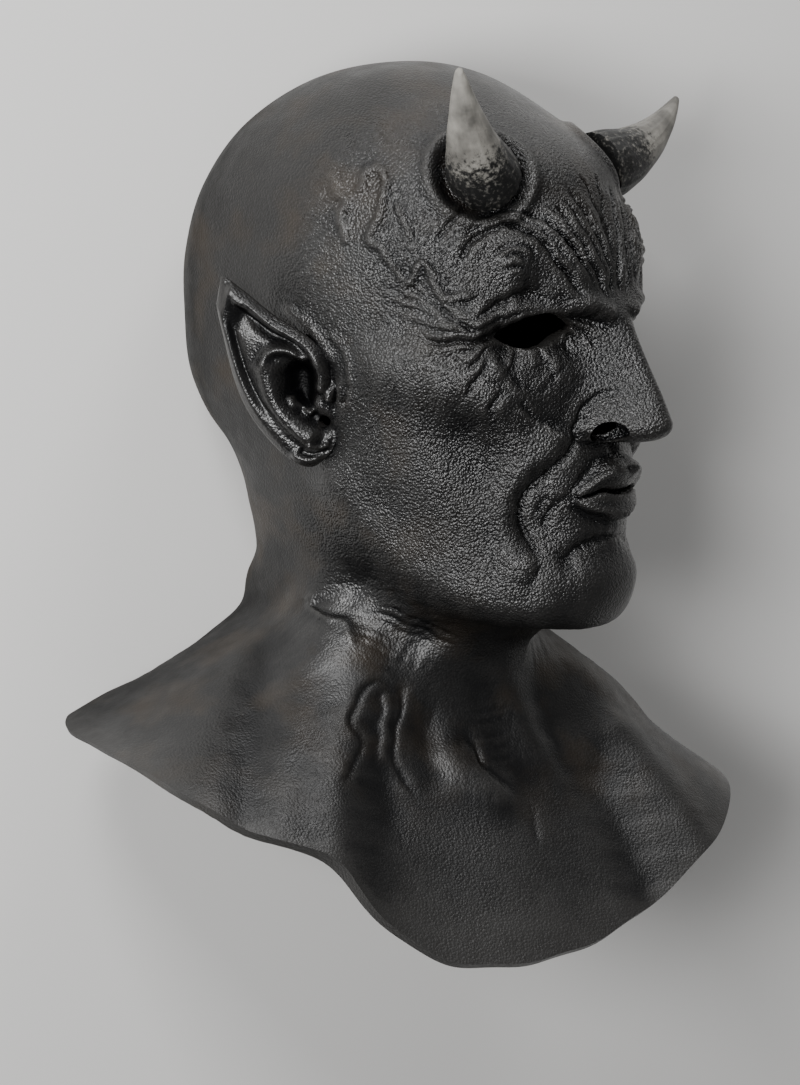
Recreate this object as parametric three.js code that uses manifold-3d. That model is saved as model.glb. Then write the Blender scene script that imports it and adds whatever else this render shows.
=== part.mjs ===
// A horned devil mask: one hollow latex casting that covers the whole head and neck and ends in a
// bib over the shoulders, with two horns glued into sockets on the forehead. It lies on its back.
// Units are millimetres. The skin is worked out upright, as worn: +X is the mask's own left, +Y is
// up to the crown, +Z is the way the chest faces, and height 0 is the underside of the chin.
// The head is turned to the mask's left of the bib, as it was worn.
import * as THREE from "three";
import { ParametricGeometry } from "three/addons/geometries/ParametricGeometry.js";
import { mergeVertices } from "three/addons/utils/BufferGeometryUtils.js";
import Module from "manifold-3d";

const wasm = await Module();
wasm.setup();

const WALL = 3; // thickness of the latex
const FOLD_BACKING = 1.6; // extra latex behind the fine folds of the face and the throat
const GLUE_GAP = 0.3; // between a horn and the skin under it
const HEAD_TURN = THREE.MathUtils.degToRad(27); // the face looks this far to the left of the chest
const TURN_AXIS_Z = -30; // the neck turns about an upright line this far behind the middle
const BIB_ROLL = THREE.MathUtils.degToRad(6); // the bib hangs this much lower on the left shoulder
const ROLL_HEIGHT = -120; // the height of the point that the bib rolls about
const LYING_TILT = THREE.MathUtils.degToRad(5); // brings the skull and the collar down together
const FLAT_DEPTH = 6; // the back of the skull and of the collar are this much flattened

// Rings from the crown down to the rim of the bib, each given by its front, side and back points:
// [front z, front height, half width, side height, middle z, back z, back height]
const RINGS = [
  [-12, 243.5, 0, 243.5, -12, -12, 243.5], // crown
  [30, 239, 42, 238, -12, -55, 237.5],
  [61, 225, 67, 221, -12, -91, 216],
  [78, 202, 79, 196, -12, -113, 187], // horns
  [87, 177, 83, 168, -12, -122, 156],
  [93, 154, 83, 144, -12, -121, 127], // brow
  [93, 137, 81, 125, -11, -112, 104], // eyes
  [91, 114, 78, 106, -9, -103, 85],
  [90, 88, 75, 88, -7, -93, 70], // under the nose
  [91, 64, 71, 71, -6, -89, 57], // mouth
  [91, 42, 66, 54, -6, -87, 45],
  [95, 20, 61, 38, -7, -87, 34], // chin
  [84, 3, 57, 24, -9, -89, 23],
  [60, -2, 56, 11, -12, -94, 12], // under the jaw
  [42, -14, 60, -1, -16, -103, 2],
  [36, -38, 76, -14, -20, -114, -9],
  [46, -68, 104, -33, -24, -124, -22],
  [68, -102, 133, -51, -26, -131, -40],
  [92, -141, 155, -63, -27, -136, -60], // rim
];
const RIM = RINGS.length - 1;
const NECK_TOP = 12; // rings from here to NECK_FOOT take up the turn of the head
const NECK_FOOT = 16;

const smooth = THREE.MathUtils.smoothstep;
const bell = (distance, width) => Math.exp(-((distance / width) ** 2));

// The rings with one more at each end, so that the surface is level across the crown and runs on
// straight past the rim.
const mirroredRing = ([frontZ, frontY, sideX, sideY, midZ, backZ, backY]) => {
  const crownZ = RINGS[0][0];
  return [2 * crownZ - frontZ, frontY, -sideX, sideY, midZ, 2 * crownZ - backZ, backY];
};
const pastRim = (steps) => RINGS[RIM].map((v, k) => v + steps * (v - RINGS[RIM - 1][k]));
const GUIDES = [mirroredRing(RINGS[1]), ...RINGS, pastRim(1), pastRim(2)];

// One column of the ring table at any row between rings, as a smooth curve through the rings.
function guideAt(column, row) {
  const i = Math.min(Math.floor(row), RIM);
  const f = row - i;
  const [a, b, c, d] = [0, 1, 2, 3].map((k) => GUIDES[i + k][column]);
  return b + 0.5 * f * (c - a + f * (2 * a - 5 * b + 4 * c - d + f * (3 * (b - c) + d - a)));
}

// The plain form of the head, neck and bib, before any feature is pressed into it. Each ring is two
// half ovals, a front one and a back one, and the front one is a little squarer at the face.
function basePoint(azimuth, row) {
  const [frontZ, frontY, sideX, sideY, midZ, backZ, backY] = [0, 1, 2, 3, 4, 5, 6].map((k) =>
    guideAt(k, row),
  );
  const s = Math.sin(azimuth);
  const c = Math.cos(azimuth);
  const depth = Math.max(c > 0 ? frontZ - midZ : midZ - backZ, 1e-6);
  const power = c > 0 ? 2 + 0.35 * bell(row - 9, 4) + 0.4 * smooth(row, NECK_FOOT, RIM) : 2;
  const across = Math.abs(s) / Math.max(sideX, 1e-6);
  const reach = ((Math.abs(c) / depth) ** power + across ** power) ** (-1 / power);
  const height = sideY + ((c > 0 ? frontY : backY) - sideY) * c * c;
  return new THREE.Vector3(reach * s, height, midZ + reach * c);
}

function baseNormal(azimuth, row) {
  const step = 1e-3;
  const safeRow = THREE.MathUtils.clamp(row, 0.02, RIM + 0.9);
  const across = basePoint(azimuth + step, safeRow).sub(basePoint(azimuth - step, safeRow));
  const down = basePoint(azimuth, safeRow + step).sub(basePoint(azimuth, safeRow - step));
  return down.cross(across).normalize();
}

// The point of the plain form at an azimuth in degrees from the face's middle, and a height.
function onBase(degrees, height) {
  const azimuth = THREE.MathUtils.degToRad(degrees);
  let [low, high] = [0, RIM];
  for (let i = 0; i < 40; i++) {
    const middle = (low + high) / 2;
    if (basePoint(azimuth, middle).y > height) low = middle;
    else high = middle;
  }
  return basePoint(azimuth, low);
}

// A feature is a soft ridge, or with a negative lift a groove, along a path of [azimuth, height]
// points. The features of the head are given on the mask's left side and repeated on the right.
// Those of the neck and bib are the folds of loose skin on a turned neck, each on its own side.
function feature(lift, width, path, mirrored = true) {
  const points = path.map(([degrees, height]) => onBase(degrees, height));
  if (points.length < 3) return { lift, width, points, mirrored };
  const curve = new THREE.CatmullRomCurve3(points);
  return { lift, width, points: curve.getPoints(5 * points.length), mirrored };
}
const fold = (lift, width, path) => feature(lift, width, path, false);

const BROAD = [
  feature(5, 6.5, [[5, 133], [9, 136], [16, 140]]), // inner brow, drawn down in a frown
  feature(3, 8, [[24, 143], [33, 141], [43, 136]]), // outer brow
  feature(3.5, 10, [[30, 162]]), // hill over the brow
  feature(-8, 8, [[15, 126], [29, 126]]), // eye socket
  feature(4, 9, [[23, 125]]), // eyeball under the lids
  feature(-4, 12, [[54, 150], [60, 132]]), // temple
  feature(5, 15, [[32, 105], [48, 116], [64, 121]]), // cheekbone
  feature(-5, 16, [[44, 80], [38, 58]]), // hollow cheek
  feature(5, 20, [[0, 16]]), // chin
  feature(-4, 7, [[0, 38], [9, 37], [16, 29]]), // groove over the chin
  feature(5, 11, [[22, 10], [42, 17], [62, 31], [80, 48], [88, 62]]), // jaw
  feature(-5, 11, [[38, -8], [60, 2], [80, 16]]), // hollow under the jaw
  fold(4, 12, [[-100, 6], [-64, -16], [-49, -37], [-44, -61], [-42, -81]]), // near neck ridge
  fold(-3.5, 10, [[-103, -20], [-74, -42], [-63, -64], [-56, -84]]), // valley on that shoulder
  fold(4.5, 9, [[-9, -56], [0, -66], [9, -76]]), // end of the right collarbone
  fold(5.5, 7, [[2, -4], [14, -17], [28, -30], [31, -44], [35, -56], [40, -64]]), // neck tendon
  fold(-4, 7, [[46, -24], [41, -45], [40, -64], [37, -82], [40, -108]]), // valley beside it
  fold(4, 10, [[68, -13], [60, -44], [52, -72], [50, -92], [49, -112]]), // ridge beyond that
];
const FINE = [
  feature(-3.5, 5.5, [[9.5, 101], [14, 89], [22, 74], [28, 60], [28.5, 51], [26.5, 38]]), // smile
  feature(4.5, 7, [[18, 99], [24, 87], [32, 71], [37, 57], [35, 44]]), // cheek beside that fold
  feature(-3, 4, [[17, 57], [21, 51], [21.5, 44]]), // fold under the mouth's corner
  feature(-3, 3.5, [[6, 128], [10, 132], [15, 135.5], [22, 137], [30, 136], [37, 133]]), // lid
  feature(-3, 3.5, [[2, 137], [3.5, 150], [5, 163], [7, 174], [11, 186], [14, 195]]), // frown
  feature(-2.5, 3.5, [[42, 161], [38, 170], [32, 176], [26, 175], [21, 170], [15, 160]]), // arch
  feature(-2.5, 3.5, [[34, 124], [32, 113], [27, 106], [20, 109], [14, 121]]), // bag under the eye
  fold(-3, 4.5, [[-41, -28], [-46, -35], [-44, -46], [-38, -56], [-40, -70]]),
  fold(3, 4.5, [[-36, -30], [-34, -45], [-32, -59], [-26, -70]]),
  fold(-2.5, 4.5, [[-18, -44], [-15, -55], [-11, -68]]),
  fold(-3.5, 4.5, [[-5, -50], [2, -58], [8, -63], [15, -70]]),
  fold(-3, 4.5, [[20.5, -70], [19, -83], [15.5, -94]]),
];

// The summed lift of the features at a point. The lining follows every hollow in full, and wider,
// but a ridge only in part, so that the wall is never thinner than it should be.
const LINING_RIDGE_SHARE = 0.4;
const LINING_HOLLOW_WIDENING = 1.5;
function reliefOf(features, p, lining = false) {
  const mirrored = new THREE.Vector3(Math.abs(p.x), p.y, p.z);
  const segment = new THREE.Line3();
  const nearest = new THREE.Vector3();
  let sum = 0;
  for (const { lift, width, points, mirrored: both } of features) {
    const place = both ? mirrored : p;
    let least = place.distanceTo(points[0]);
    for (let i = 1; i < points.length; i++) {
      segment.set(points[i - 1], points[i]).closestPointToPoint(place, true, nearest);
      least = Math.min(least, nearest.distanceTo(place));
    }
    const depth = lining && lift > 0 ? LINING_RIDGE_SHARE * lift : lift;
    const reach = lining && lift < 0 ? LINING_HOLLOW_WIDENING * width : width;
    if (least < 3 * reach) sum += depth * bell(least, reach);
  }
  return sum;
}

// The hooked nose stands forward of the plain face. Its bridge rises in a straight line to the tip
// and its underside turns back over a short height. The tip droops.
const NOSE = { reach: 30.5, tipHeight: 94, topHeight: 148, footHeight: 82, droop: 4.5 };
const BRIDGE = { width: 10, widening: 3.5, from: 125, over: 30 };
const WING = { x: 14, y: 92, lift: 9, width: 7, creaseAway: 11, crease: 2.5, creaseWidth: 2.8 };
const LINING_NOSE_SHARE = 0.68; // the tip of the nose is solid latex
function noseReach(x, y) {
  const { reach, tipHeight, topHeight, footHeight } = NOSE;
  const up = (topHeight - y) / (topHeight - tipHeight);
  const under = (tipHeight - y) / (tipHeight - footHeight);
  const along = y > tipHeight ? Math.max(up, 0) : Math.sqrt(Math.max(1 - under * under, 0));
  const width = BRIDGE.width + BRIDGE.widening * smooth(BRIDGE.from - y, 0, BRIDGE.over);
  const roof = Math.exp(-((Math.abs(x) / width) ** 2.1));
  const away = Math.hypot(Math.abs(x) - WING.x, y - WING.y);
  const crease = bell(away - WING.creaseAway, WING.creaseWidth) * smooth(Math.abs(x), 6, 12);
  const wing = WING.lift * bell(away, WING.width) - WING.crease * crease;
  return reach * along * roof + wing * smooth(y, footHeight + 1, footHeight + 6);
}

// Lips with corners that turn down, and the muzzle that carries them.
const MOUTH = { height: 60, halfWidth: 27, droop: 1.5 };
const UPPER_LIP = { lift: 6, above: 8, width: 6 };
const LOWER_LIP = { lift: 7, above: -7, width: 5.5 };
const MOUTH_CREASE = { depth: 5, width: 2.5 };
const MUZZLE = { lift: 3, halfWidth: 30, halfHeight: 26 };
const mouthLine = (x) => MOUTH.height - MOUTH.droop * (x / MOUTH.halfWidth) ** 2;
function lipReach(x, y) {
  const inLips = Math.max(1 - (x / (MOUTH.halfWidth + 1)) ** 2, 0) ** 0.7;
  const above = y - mouthLine(x);
  const lip = ({ lift, above: from, width }) => lift * bell(above - from, width);
  const crease = MOUTH_CREASE.depth * bell(above, MOUTH_CREASE.width);
  const muzzle = bell(x, MUZZLE.halfWidth) * bell(y - MOUTH.height, MUZZLE.halfHeight);
  return (lip(UPPER_LIP) + lip(LOWER_LIP) - crease) * inLips + MUZZLE.lift * muzzle;
}

// A swollen ring of skin stands round each horn, with a dished floor inside it.
const HORN_SEAT = onBase(35, 198);
const SEAT_RING = { radius: 19, lift: 4.5, width: 5 };
const SEAT_DISH = { depth: 2, width: 12 };
function seatRelief(p) {
  const away = Math.hypot(Math.abs(p.x) - HORN_SEAT.x, p.y - HORN_SEAT.y, p.z - HORN_SEAT.z);
  const ring = SEAT_RING.lift * bell(away - SEAT_RING.radius, SEAT_RING.width);
  return ring - SEAT_DISH.depth * bell(away, SEAT_DISH.width);
}

const LIE_DOWN = new THREE.Matrix4().makeRotationX(-LYING_TILT);
function headTurn(share) {
  return new THREE.Matrix4()
    .makeTranslation(0, 0, TURN_AXIS_Z)
    .multiply(new THREE.Matrix4().makeRotationY(HEAD_TURN * share))
    .multiply(new THREE.Matrix4().makeTranslation(0, 0, -TURN_AXIS_Z));
}

// The outside of the mask for grow = 0, and a skin parallel to it otherwise. The lining leaves out
// what is solid latex: the lips, the tip of the nose and the seats of the horns.
const BIB_FOLDS = { lift: 2.5, count: 6, phase: 1 }; // loose folds that run down the bib
function skinPoint(azimuth, row, { grow = 0, lining = false } = {}) {
  const p = basePoint(azimuth, row);
  const facing = p.z > 0 && row < NECK_TOP;
  let lift = grow + reliefOf(BROAD, p, lining) + reliefOf(FINE, p, lining);
  if (lining) lift -= FOLD_BACKING * smooth(p.z, 0, 40) * smooth(row, 3, 5);
  else lift += seatRelief(p);
  const bibWave = Math.sin(BIB_FOLDS.count * azimuth + BIB_FOLDS.phase);
  lift += BIB_FOLDS.lift * bibWave * smooth(row, NECK_FOOT - 1.5, RIM);
  const { x, y } = p;
  p.addScaledVector(baseNormal(azimuth, row), lift);
  if (facing) {
    const nose = noseReach(x, y) * (lining ? LINING_NOSE_SHARE : 1);
    p.z += nose + (lining ? 0 : lipReach(x, y));
    p.y -= NOSE.droop * (nose / NOSE.reach) * smooth(NOSE.tipHeight + 10 - y, 0, 14);
  }
  return turned(p, row);
}

// From the upright sculpt to the mask as it lies. The head turns and the bib rolls, each fading
// out through the neck, and then the whole tips back.
function turned(p, row) {
  const bibShare = smooth(row, NECK_TOP, NECK_FOOT);
  const roll = new THREE.Matrix4()
    .makeTranslation(0, ROLL_HEIGHT, 0)
    .multiply(new THREE.Matrix4().makeRotationZ(-BIB_ROLL * bibShare))
    .multiply(new THREE.Matrix4().makeTranslation(0, -ROLL_HEIGHT, 0));
  return p.applyMatrix4(roll).applyMatrix4(headTurn(1 - bibShare)).applyMatrix4(LIE_DOWN);
}

// A closed solid from a geometry: only places count, shared corners are merged, and the triangles
// that a pole folds flat are dropped.
function solidFrom(geometry) {
  const placed = new THREE.BufferGeometry();
  placed.setAttribute("position", geometry.getAttribute("position"));
  if (geometry.index) placed.setIndex(geometry.index);
  const merged = mergeVertices(placed, 1e-3);
  const corners = [];
  const index = merged.index.array;
  for (let i = 0; i < index.length; i += 3) {
    const [a, b, c] = [index[i], index[i + 1], index[i + 2]];
    if (a !== b && b !== c && c !== a) corners.push(a, b, c);
  }
  return new wasm.Manifold(
    new wasm.Mesh({
      numProp: 3,
      vertProperties: merged.getAttribute("position").array,
      triVerts: new Uint32Array(corners),
    }),
  );
}

function geometryFrom(solid) {
  const { vertProperties, triVerts } = solid.getMesh();
  const geometry = new THREE.BufferGeometry();
  geometry.setAttribute("position", new THREE.BufferAttribute(vertProperties, 3));
  geometry.setIndex(new THREE.BufferAttribute(triVerts, 1));
  geometry.computeVertexNormals();
  return geometry;
}

// A closed surface from rows of points that each run right round: the first and last row are poles.
function wrapped(rows, columns, pointAt) {
  return solidFrom(
    new ParametricGeometry(
      (u, v, target) => {
        const j = Math.round(v * rows);
        const i = j === 0 || j === rows ? 0 : Math.round(u * columns) % columns;
        return target.copy(pointAt(i, j));
      },
      columns,
      rows,
    ),
  );
}

// Rows between the rings, closer where the face has more to show.
function rowList(perRing, last) {
  const rows = [];
  perRing.forEach((count, ring) => {
    for (let i = 0; i < count; i++) rows.push(ring + i / count);
  });
  return [...rows, last];
}
// Azimuths all the way round, close at the front and wide at the back, starting at the back.
function azimuthOf(column, columns) {
  const s = 1 - (2 * column) / columns;
  return Math.PI * Math.sign(s) * (0.42 * Math.abs(s) + 0.58 * Math.abs(s) ** 3);
}

// The head, neck and bib as a solid. Below the last row the surface turns in square to the wall by
// the length of the hem and then closes to a point at the height given as end.
const HEM = 12;
function skinSolid(rows, columns, end, options) {
  return wrapped(rows.length + 1, columns, (i, j) => {
    if (j > rows.length) return new THREE.Vector3(0, end, TURN_AXIS_Z);
    const azimuth = j === 0 ? 0 : azimuthOf(i, columns);
    if (j < rows.length) return skinPoint(azimuth, rows[j], options);
    return skinPoint(azimuth, rows[j - 1], { ...options, grow: (options.grow ?? 0) - HEM });
  });
}

const OUTER_ROWS = rowList([2, 1, 2, 3, 3, 4, 5, 6, 5, 4, 3, 2, 2, 2, 2, 3, 3, 2], RIM);
const LINING_ROWS = rowList([1, 1, 1, 1, 1, 2, 2, 2, 2, 1, 1, 1, 1, 2, 2, 1, 1, 1], RIM + 0.4);
const OUTER_COLUMNS = 52;
const LINING_COLUMNS = 26;

// A pointed ear is a plate that stands off the head toward its back edge. Its own axes are forward,
// up and outward from the opening of the ear canal.
const EAR_OPENING = new THREE.Vector3(77, 90, -5);
const EAR_SPREAD = THREE.MathUtils.degToRad(22);
const EAR_FLARE = THREE.MathUtils.degToRad(8);
const EAR_THICKNESS = 5;
// The outline as [forward, up] points, from the tip over the front, the lobe and the back edge.
const EAR_OUTLINE = [
  [-43, 63], [-33.5, 57.5], [-20.5, 47], [-5.5, 37.5], [5.5, 26], [7, 12.5], [6, -1],
  [3.5, -12], [-6, -20], [-17.5, -15.5], [-31, 0], [-38.5, 16.5], [-43, 37], [-45.5, 52],
];
const EAR_MIDDLE = new THREE.Vector3(-17, 18, 0);

// Ridges and hollows of the ear's face, on its own plane.
const earFeature = (lift, width, path) => ({
  lift,
  width,
  points: path.map(([forward, up]) => new THREE.Vector3(forward, up, 0)),
  mirrored: false,
});
const EAR_FEATURES = [
  earFeature(-3, 2.6, [[-40, 53], [-36, 35], [-34, 20], [-22, 4], [-9, -8]]), // rear groove
  earFeature(-3.5, 3, [[-40, 54], [-28, 46], [-14, 35], [-4, 30]]), // groove under the top edge
  earFeature(2.5, 4, [[-32, 45], [-30, 34], [-25, 25]]),
  earFeature(3, 3, [[-23, 26], [-19, 33], [-12, 32], [-4, 28]]),
  earFeature(3, 3.5, [[-26, 26], [-23, 17], [-20, 9], [-13, 3], [-3, -6], [4, -7]]),
  earFeature(-8, 6, [[-12, 19], [-8, 20], [-6, 14], [-3, 7]]), // bowl
  earFeature(3, 1.8, [[-14, 12], [-9, 7], [-4, 3]]), // fold in the bowl
  earFeature(4, 2.6, [[4, 22], [-2, 19], [-4, 15]]), // root of the top edge
  earFeature(5, 3.2, [[3, 8], [5, 12]]), // flap in front of the canal
  earFeature(2.5, 3, [[-6, -11], [2, -12]]),
];

const EAR_RIM = { lift: 3, fromEdge: 3, width: 2.6 };
const EAR_STEM = { forward: -6, up: 10, reach: 15, width: 19 }; // the root that runs into the head
function earSolid(angles) {
  const outline = new THREE.CatmullRomCurve3(
    EAR_OUTLINE.map(([forward, up]) => new THREE.Vector3(forward, up, 0)),
    true,
  ).getSpacedPoints(angles);
  const front = [0, 0.22, 0.42, 0.6, 0.76, 0.89, 1];
  const back = [0.85, 0.5, 0];
  const shares = [...front, ...back];
  return wrapped(shares.length - 1, angles, (i, j) => {
    const share = shares[j];
    const p = EAR_MIDDLE.clone().lerp(outline[i], share);
    const rounding = Math.sqrt(1 - share ** 6);
    if (j < front.length) {
      const edge = p.distanceTo(outline[i]);
      const rim = EAR_RIM.lift * bell(edge - EAR_RIM.fromEdge, EAR_RIM.width);
      p.z = rounding * (EAR_THICKNESS / 2 + rim + reliefOf(EAR_FEATURES, p));
    } else {
      const away = Math.hypot(p.x - EAR_STEM.forward, p.y - EAR_STEM.up);
      p.z = -rounding * (EAR_THICKNESS / 2 + EAR_STEM.reach * bell(away, EAR_STEM.width));
    }
    return p;
  });
}

// Puts a solid that is modelled on the mask's left into its place on one side of the head.
// side is 1 for the mask's left and -1 for its right.
function headPlacement(side, local = new THREE.Matrix4()) {
  return new THREE.Matrix4()
    .multiplyMatrices(LIE_DOWN, headTurn(1))
    .multiply(new THREE.Matrix4().makeScale(side, 1, 1))
    .multiply(local);
}
const placed = (solid, matrix) => solid.transform(matrix.elements);

const earOut = new THREE.Vector3(Math.cos(EAR_SPREAD), 0, Math.sin(EAR_SPREAD));
const earForward = new THREE.Vector3(-Math.sin(EAR_SPREAD), 0, Math.cos(EAR_SPREAD));
const earUp = new THREE.Vector3(0, 1, 0)
  .multiplyScalar(Math.cos(EAR_FLARE))
  .addScaledVector(earOut, Math.sin(EAR_FLARE));
const EAR_FRAME = new THREE.Matrix4()
  .makeBasis(earForward, earUp, new THREE.Vector3().crossVectors(earUp, earForward))
  .setPosition(EAR_OPENING);

const SIDES = [1, -1];
const ear = earSolid(26);
const ears = SIDES.map((side) => placed(ear, headPlacement(side, EAR_FRAME)));
const CANAL = { radius: 2.7, length: 60, sides: 12 };
const canal = solidFrom(
  new THREE.CylinderGeometry(CANAL.radius, CANAL.radius, CANAL.length, CANAL.sides).rotateX(
    Math.PI / 2,
  ),
);
const canals = SIDES.map((side) => placed(canal, headPlacement(side, EAR_FRAME)));

// The openings: an almond through the lids for each eye and a hole up into the nose each side.
const EYE = { x: 33, y: 129, z: 70, halfWidth: 16.5, above: 7, below: 7, turn: 20, depth: 60 };
const EYE_CORNERS = { inner: 3, outer: -1 }; // the inner corner sits higher
function eyeSolid() {
  const shape = new THREE.Shape();
  shape.moveTo(-EYE.halfWidth, EYE_CORNERS.inner);
  shape.quadraticCurveTo(0, 2 * EYE.above, EYE.halfWidth, EYE_CORNERS.outer);
  shape.quadraticCurveTo(0, -2 * EYE.below, -EYE.halfWidth, EYE_CORNERS.inner);
  const settings = { depth: EYE.depth, bevelEnabled: false, curveSegments: 8 };
  const geometry = new THREE.ExtrudeGeometry(shape, settings).translate(0, 0, -EYE.depth / 2);
  geometry.rotateY(THREE.MathUtils.degToRad(EYE.turn)).translate(EYE.x, EYE.y, EYE.z);
  return solidFrom(geometry);
}
const NOSTRIL = { x: 11, y: 84, z: 100, radii: [5, 6.5, 8] };
const nostril = solidFrom(
  new THREE.SphereGeometry(1, 12, 8)
    .scale(...NOSTRIL.radii)
    .translate(NOSTRIL.x, NOSTRIL.y, NOSTRIL.z),
);
const eyes = SIDES.map((side) => placed(eyeSolid(), headPlacement(side)));
const nostrils = SIDES.map((side) => placed(nostril, headPlacement(side)));

// Each horn is round, tapers to a blunt tip and curves upward. The two were set by hand and differ.
const HORN_SINK = 7; // the root goes this far below the skin before it is trimmed to it
const HORNS = {
  left_horn: { side: 1, tip: [50, 27, 5], bend: [31, 5, 4] },
  right_horn: { side: -1, tip: [38, 42, 14], bend: [25, 13, 9] },
};
const HORN_ROOT_RADIUS = 13.5;
const HORN_TIP_RADIUS = 2;
const HORN_TIP_ROUNDING = 1.5; // the blunt end stands this far past the last ring
function hornSolid({ tip, bend }) {
  const root = HORN_SEAT.clone();
  const curve = new THREE.QuadraticBezierCurve3(
    root,
    root.clone().add(new THREE.Vector3(...bend)),
    root.clone().add(new THREE.Vector3(...tip)),
  );
  const start = curve.getTangent(0);
  const side = new THREE.Vector3(0, 0, 1).cross(start).normalize();
  const [rings, sides] = [9, 14];
  return wrapped(rings, sides, (i, j) => {
    const t = Math.max(j - 1, 0) / (rings - 2);
    if (j === 0) return root.clone().addScaledVector(start, -HORN_SINK);
    if (j === rings) {
      return curve.getPoint(1).addScaledVector(curve.getTangent(1), HORN_TIP_ROUNDING);
    }
    const tangent = curve.getTangent(t);
    const across = side.clone().cross(tangent).normalize();
    const radius = HORN_ROOT_RADIUS * (1 - t) ** 0.85 + HORN_TIP_RADIUS;
    const angle = (-2 * Math.PI * i) / sides;
    return curve
      .getPoint(t)
      .addScaledVector(start, j === 1 ? -HORN_SINK : 0)
      .addScaledVector(side, radius * Math.cos(angle))
      .addScaledVector(across, radius * Math.sin(angle));
  });
}

// Everything lower than a level, as a block to cut off.
function below(level) {
  const size = 1000;
  return solidFrom(new THREE.BoxGeometry(size, size, size).translate(0, 0, level - size / 2));
}

// The outside closes to a point inside the bib, and the cavity runs out through the bib to a point
// below it, which leaves the bib open.
const OUTER_END = -80;
const CAVITY_END = -140;
const outer = skinSolid(OUTER_ROWS, OUTER_COLUMNS, OUTER_END, {});
const gapped = skinSolid(OUTER_ROWS, OUTER_COLUMNS, OUTER_END, { grow: GLUE_GAP });
const cavity = skinSolid(LINING_ROWS, LINING_COLUMNS, CAVITY_END, { grow: -WALL, lining: true });
const floor = outer.boundingBox().min[2] + FLAT_DEPTH;
const hollow = cavity.subtract(below(floor + WALL));
const cut = (solid, cutters) => cutters.reduce((left, cutter) => left.subtract(cutter), solid);

const LATEX = new THREE.MeshStandardMaterial({ color: 0x2b2b2c, roughness: 0.5, metalness: 0 });
const HORN = new THREE.MeshStandardMaterial({ color: 0xa8a6a0, roughness: 0.55, metalness: 0 });

const part = new THREE.Group();
function addPiece(name, solid, material) {
  const mesh = new THREE.Mesh(geometryFrom(solid), material);
  mesh.name = name;
  part.add(mesh);
}
const skin = ears.reduce((joined, earPiece) => joined.add(earPiece), outer);
addPiece("mask_skin", cut(skin, [below(floor), hollow, ...canals, ...eyes, ...nostrils]), LATEX);
for (const [name, horn] of Object.entries(HORNS)) {
  const raw = placed(hornSolid(horn), headPlacement(horn.side));
  addPiece(name, raw.subtract(gapped), HORN);
}

// The middle of the mask's outline on the floor becomes the origin.
const box = new THREE.Box3().setFromObject(part);
const middle = box.getCenter(new THREE.Vector3()).setZ(box.min.z);
part.children.forEach((mesh) => mesh.geometry.translate(-middle.x, -middle.y, -middle.z));

export default part;
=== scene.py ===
import math

import bpy
import numpy as np
from mathutils import Matrix, Vector
from mathutils.kdtree import KDTree


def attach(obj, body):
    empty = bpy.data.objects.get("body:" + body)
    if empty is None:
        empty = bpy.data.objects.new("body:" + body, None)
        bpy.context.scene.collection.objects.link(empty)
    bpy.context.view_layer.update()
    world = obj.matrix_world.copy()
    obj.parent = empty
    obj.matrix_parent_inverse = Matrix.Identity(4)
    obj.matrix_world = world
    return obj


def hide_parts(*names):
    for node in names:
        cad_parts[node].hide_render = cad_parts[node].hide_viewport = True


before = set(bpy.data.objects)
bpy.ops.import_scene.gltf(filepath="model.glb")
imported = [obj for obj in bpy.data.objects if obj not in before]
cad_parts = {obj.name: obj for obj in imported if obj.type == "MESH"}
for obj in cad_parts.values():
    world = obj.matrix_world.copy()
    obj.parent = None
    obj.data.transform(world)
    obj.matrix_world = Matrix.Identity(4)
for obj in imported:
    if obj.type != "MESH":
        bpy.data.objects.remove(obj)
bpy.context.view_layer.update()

# The plain form of the skin.
# The mask is one hollow casting of black latex: skull, face, neck, and a bib over the shoulders.
# It was sculpted upright, so lengths are in millimetres with x to the mask's own left, y up and z
# out of the chest, and height 0 is the underside of the chin.
RINGS = np.array([
    # front z, front height, half width, side height, middle z, back z, back height
    [-12, 243.5, 0, 243.5, -12, -12, 243.5],  # crown
    [15, 238.5, 37, 237.5, -12, -53, 237],
    [45, 223, 62, 220, -12, -90, 216],
    [75, 202, 78, 196, -12, -112, 187],  # horns
    [87, 177, 83, 168, -12, -122, 156],
    [93, 154, 83, 144, -12, -122.5, 127],  # brow
    [93, 137, 81, 125, -11, -120.5, 104],  # eyes
    [91, 114, 79, 106, -9, -111, 85],
    [90, 88, 75, 88, -7, -98, 70],  # under the nose
    [91, 64, 71, 71, -6, -91.5, 57],  # mouth
    [91, 42, 66, 54, -6, -89.5, 45],
    [94, 20, 61, 38, -7, -88, 34],  # chin
    [85, 2, 57, 24, -9, -89, 23],
    [60, -2, 56, 11, -12, -98, 12],  # under the jaw
    [42, -14, 60, -1, -16, -108, 2],
    [36, -38, 76, -14, -20, -114, -9],
    [46, -68, 104, -33, -24, -124, -22],
    [68, -102, 133, -51, -26, -131, -40],
    [92, -141, 155, -63, -27, -136, -60],  # rim of the bib
], float)
RIM = len(RINGS) - 1
NECK_TOP, NECK_FOOT = 12, 16  # the rings that take up the turn of the head
HEAD_TURN = math.radians(27)
TURN_AXIS_Z = -30
BIB_ROLL = math.radians(6)
ROLL_HEIGHT = -120
LYING_TILT = math.radians(5)
FLOOR_MIDDLE = np.array([5.953, 57.781, -126.302])  # the origin, in the upright frame tipped back
MILLIMETRE = 0.001  # in the metres of the scene


def smooth(x, low, high):
    """0 below low, 1 above high, and 3t² - 2t³ between."""
    t = np.clip((x - low) / (high - low), 0, 1)
    return t * t * (3 - 2 * t)


def bell(distance, width):
    """e to the minus (distance / width)²: 1 at the middle and near 0 at twice the width."""
    return np.exp(-((distance / width) ** 2))


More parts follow.
